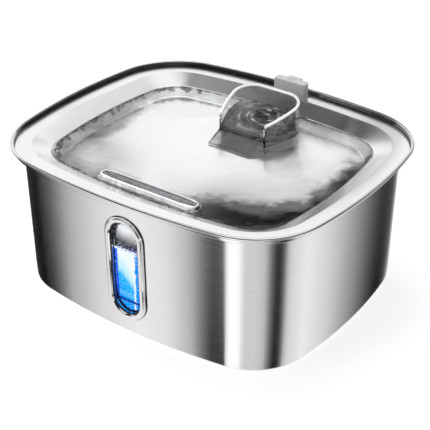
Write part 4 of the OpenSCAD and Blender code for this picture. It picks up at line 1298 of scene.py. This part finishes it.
def swirling_water(name, tint):
    """Water round a hollow, with painted shade in smooth broken arcs, dark in the middle, grey on the ramp.
    """
    s = Shader(name, IOR=1.2, Transmission_Weight=1.0, Roughness=0.0, Coat_Weight=0.3, Coat_Roughness=0.0,
               Coat_IOR=1.33, Emission_Strength=1.0)
    place = s.place((1 / MM, 1 / MM, 0), (-SWIRL.x, -SWIRL.y, 0))
    far = s.math("SQRT", s.math("ADD", s.math("POWER", place["X"], 2), s.math("POWER", place["Y"], 2)))
    turn = s.math("ARCTAN2", place["Y"], place["X"])
    twist = s.math("ADD", turn, s.math("DIVIDE", 40, s.math("ADD", far, 9)))
    rise = s.math("MULTIPLY", far, 0.24)
    wound = s.node("CombineXYZ", {0: s.math("COSINE", twist), 1: s.math("SINE", twist), 2: rise}).outputs[0]
    arcs = s.noise(wound, 1.0, 4, 0.5)
    dark_to_light = ((0.38, 0.12), (0.5, 0.6), (0.6, 1))
    shade = s.ramp(arcs, *((at, tuple(share * c for c in tint)) for at, share in dark_to_light))
    hollow = s.ramp(s.span(far, 0, 1, 1, 13), (0.0, 0.1), (0.5, 0.45), (1.0, 1))
    shade = s.mix(s.span(far, 0, 1, 17, 30), shade, (0.6, 0.605, 0.61))
    s.to("Base Color", s.times(shade, hollow))
    # Painted glints glow along the light arcs.
    glint = s.ramp(arcs, (0.5, 0), (0.58, (0.06, 0.06, 0.062)), (0.66, (0.36, 0.37, 0.38)))
    around = s.ramp(s.span(far, 0, 1, 2, 32), (0.0, 0), (0.2, 1), (0.6, 0.7), (0.9, 0))
    s.to("Emission Color", s.times(glint, around))
    s.bump(arcs, 0.8, 0.004)
    return s.material


spout_water = swirling_water("spout_water", (0.27, 0.275, 0.28))
# The tank's water gives off painted light behind the window.
tank_water = Shader("tank_water_blue", Specular_IOR_Level=0.0, Roughness=0.2, Emission_Strength=1.0)


def ripple_glints(s, up, full, none):
    """Painted white ripple glints along the water's edge on the pane: all at one height, none at another."""
    ripples = s.noise(s.coords((700, 700, 1400)), 1.0, 3)
    near = s.span(up, 0.62, 0.35, (TANK_WATER_Z + none) * MM, (TANK_WATER_Z + full) * MM)
    share = s.math("SUBTRACT", ripples, near)
    return s.span(share, 0, 1, 0.0, 0.05)


def pane_edge(s, place, left):
    """Shade of the black, ragged ring that the bezel throws on the pane, wider at the left by so much."""
    side = s.math("SUBTRACT", place["X"], MIDDLE_X * MM)
    off = s.math("ABSOLUTE", s.math("SUBTRACT", place["Z"], WINDOW_Z * MM))
    over = s.math("MAXIMUM", s.math("SUBTRACT", off, (WINDOW_H - WINDOW_W) / 2 * MM), 0.0)
    far = s.math("POWER", s.math("ADD", s.math("MULTIPLY", side, side), s.math("MULTIPLY", over, over)), 0.5)
    inward = s.span(far, WINDOW_W / 2, 0, 0, WINDOW_W / 2 * MM)
    worn = s.math("ADD", inward, s.span(s.noise(s.coords(420), 1.0, 3), -0.8, 0.8, 0.3, 0.7))
    wide = s.math("SUBTRACT", worn, s.span(side, left, 0, -4 * MM, 9 * MM))
    return s.ramp(s.span(wide, 0, 1, 0, 3), (0.3, 1), (0.42, 0))


def paint_window_glow(s):
    """Painted glow of the water behind the window: white at the upper right, azure below, deep blue at the
    edges.
    """
    place = s.place()
    across = s.span(place["X"], 0, 1, (MIDDLE_X - WINDOW_W / 2) * MM, (MIDDLE_X + WINDOW_W / 2) * MM)
    up = s.span(place["Z"], 0, 1, 21 * MM, TANK_WATER_Z * MM)
    front = s.span(place["Y"], 1, 0, -108 * MM, -100 * MM)
    swirl = s.noise(s.coords((90, 90, 60)), 1.0, 4)
    diagonal = s.math("ADD", up, s.math("MULTIPLY", across, 0.45))
    wavy = s.math("ADD", s.span(diagonal, 0, 1, 0.3, 1.3), s.span(swirl, -0.05, 0.05, 0.3, 0.7))
    glow = s.ramp(wavy, (0.0, (0.0, 0.3, 1.0)), (0.17, (0.0, 0.4, 1.0)), (0.34, (0.0, 0.5, 1.0)),
                  (0.5, (0.55, 0.88, 1.0)), (0.7, (0.95, 1.0, 1.0)))
    pale = s.ramp(up, (0.22, 0), (0.235, 0.5), (0.3, 0.5), (0.315, 0))
    glow = s.mix(pale, glow, (0.15, 0.62, 1.0))
    wobble = s.noise(s.coords((10, 10, 130)), 1.0, 2)
    bent = s.math("ADD", across, s.span(wobble, -0.05, 0.05, 0.3, 0.7))
    # Painted highlight: a white upright band right of the middle, deeper blue beyond it.
    glow = s.mix(s.ramp(bent, (0.63, 0), (0.67, 0.9), (0.7, 0.9), (0.72, 0)), glow, 1.0)
    glow = s.mix(s.ramp(bent, (0.71, 0), (0.73, 1)), glow, (0.0, 0.28, 0.95))
    glow = s.mix(s.ramp(across, (0.08, 1), (0.11, 0)), glow, (0.0, 0.1, 0.85))
    glow = s.mix(ripple_glints(s, place["Z"], -0.5, -2.5), glow, (0.9, 0.97, 1.0))
    # Painted shade: a dark line low down, dark at the foot and at the pane's lower edge.
    line = s.ramp(up, (0.0, 0.8), (0.03, 0), (0.135, 0), (0.15, 1), (0.18, 1), (0.195, 0))
    glow = s.mix(line, glow, (0.0, 0.02, 0.28))
    low = s.math("MULTIPLY", s.span(up, 1, 0, 0.2, 0.4), pane_edge(s, place, 0.5))
    glow = s.mix(low, glow, (0.0, 0.0, 0.01))
    s.to("Emission Color", s.mix(front, (0.0, 0.01, 0.04), glow))
    s.to("Base Color", s.ramp(swirl, (0.3, (0.0, 0.02, 0.08)), (0.7, (0.0, 0.04, 0.12))))


def make_painted_glow_film():
    """A film inside the pane over the water, with painted light: pale at its top, dark down at the water."""
    s = Shader("window_painted_glow", Base_Color=(0.01, 0.01, 0.01, 1), Roughness=0.5, Specular_IOR_Level=0.0,
               Emission_Strength=1.0)
    place = s.place()
    up = place["Z"]
    cloud = s.noise(s.coords(120), 1.0, 3)
    rise = s.math("ADD", s.span(up, 0, 1, TANK_WATER_Z * MM, 103 * MM), s.span(cloud, -0.07, 0.07, 0.3, 0.7))
    film = s.ramp(rise, (0.0, (0.12, 0.15, 0.5)), (0.12, (0.03, 0.03, 0.06)), (0.28, (0.1, 0.1, 0.11)),
                  (0.5, 0.42), (0.75, 0.95))
    film = s.mix(pane_edge(s, place, 2.0), film, (0.005, 0.005, 0.006))
    s.to("Emission Color", s.mix(ripple_glints(s, up, 0.5, 2.5), film, (0.85, 0.93, 1.0)))
    film = racetrack_block("painted_glow_film", -0.3, 4.93, 5.07)
    carve(film, [slab("painted_glow_room", oblong(25, -130, -100), TANK_WATER_Z - 0.4, 110)], "INTERSECT")
    finish_piece("window_painted_glow_film", as_bmesh(film), "tank", s.material)


paint_window_glow(tank_water)
tank_water = tank_water.material
make_basin_water()
make_cup_water()
make_tank_water()
make_painted_glow_film()

# Finishes of the pieces that keep their CAD shape

KEPT = {
    moulded("dark_plastic", (0.035, 0.036, 0.04)):
        ["pump_housing", "housing_cover", "volute_cover", "drain_strainer"],
    moulded("white_plastic", (0.78, 0.78, 0.77)):
        ["impeller", "flow_regulator", "filter_case", "filter_frame"],
    moulded("silicone", (0.6, 0.6, 0.59), 0.45, 0.6, 500):
        ["window_gasket", "spout_seal", "clip_grommet", "suction_cups", "riser_tube"],
    moulded("black_rubber", (0.02, 0.02, 0.022), 0.6, 0.8, 700):
        ["tank_feet", "shaft_bushes", "cable_gland"],
    moulded("sintered_magnet", (0.06, 0.055, 0.055), 0.3, 0.6, 1500):
        ["rotor_magnet"],
    moulded("shaft_ceramic", (0.85, 0.84, 0.8), 0.1, 0.2, 300):
        ["impeller_shaft"],
    moulded("core_laminations", (0.09, 0.09, 0.1), 0.3, 0.5, 2500):
        ["stator_core"],
    moulded("copper_winding", (0.55, 0.2, 0.08), 0.25, 0.4, 1800, 0.0002):
        ["stator_coil"],
    moulded("board_green", (0.02, 0.12, 0.05), 0.2, 0.35, 600):
        ["led_board"],
    moulded("lamp_resin", (0.35, 0.6, 0.95), 0.05, 0.15, 400):
        ["led_lamps"],
    moulded("carbon_pad", (0.012, 0.012, 0.013), 0.6, 0.9, 700, 0.0004):
        ["filter_carbon"],
    moulded("blue_sponge", (0.03, 0.09, 0.3), 0.8, 1.0, 500, 0.0006):
        ["filter_sponge"],
    bright_steel: ["window_retainer", "window_screws", "cover_screws", "volute_screws"],
    lens_clear: ["led_lens"],
}
for material, names in KEPT.items():
    for name in names:
        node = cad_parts[name]
        node.data.materials.clear()
        node.data.materials.append(material)
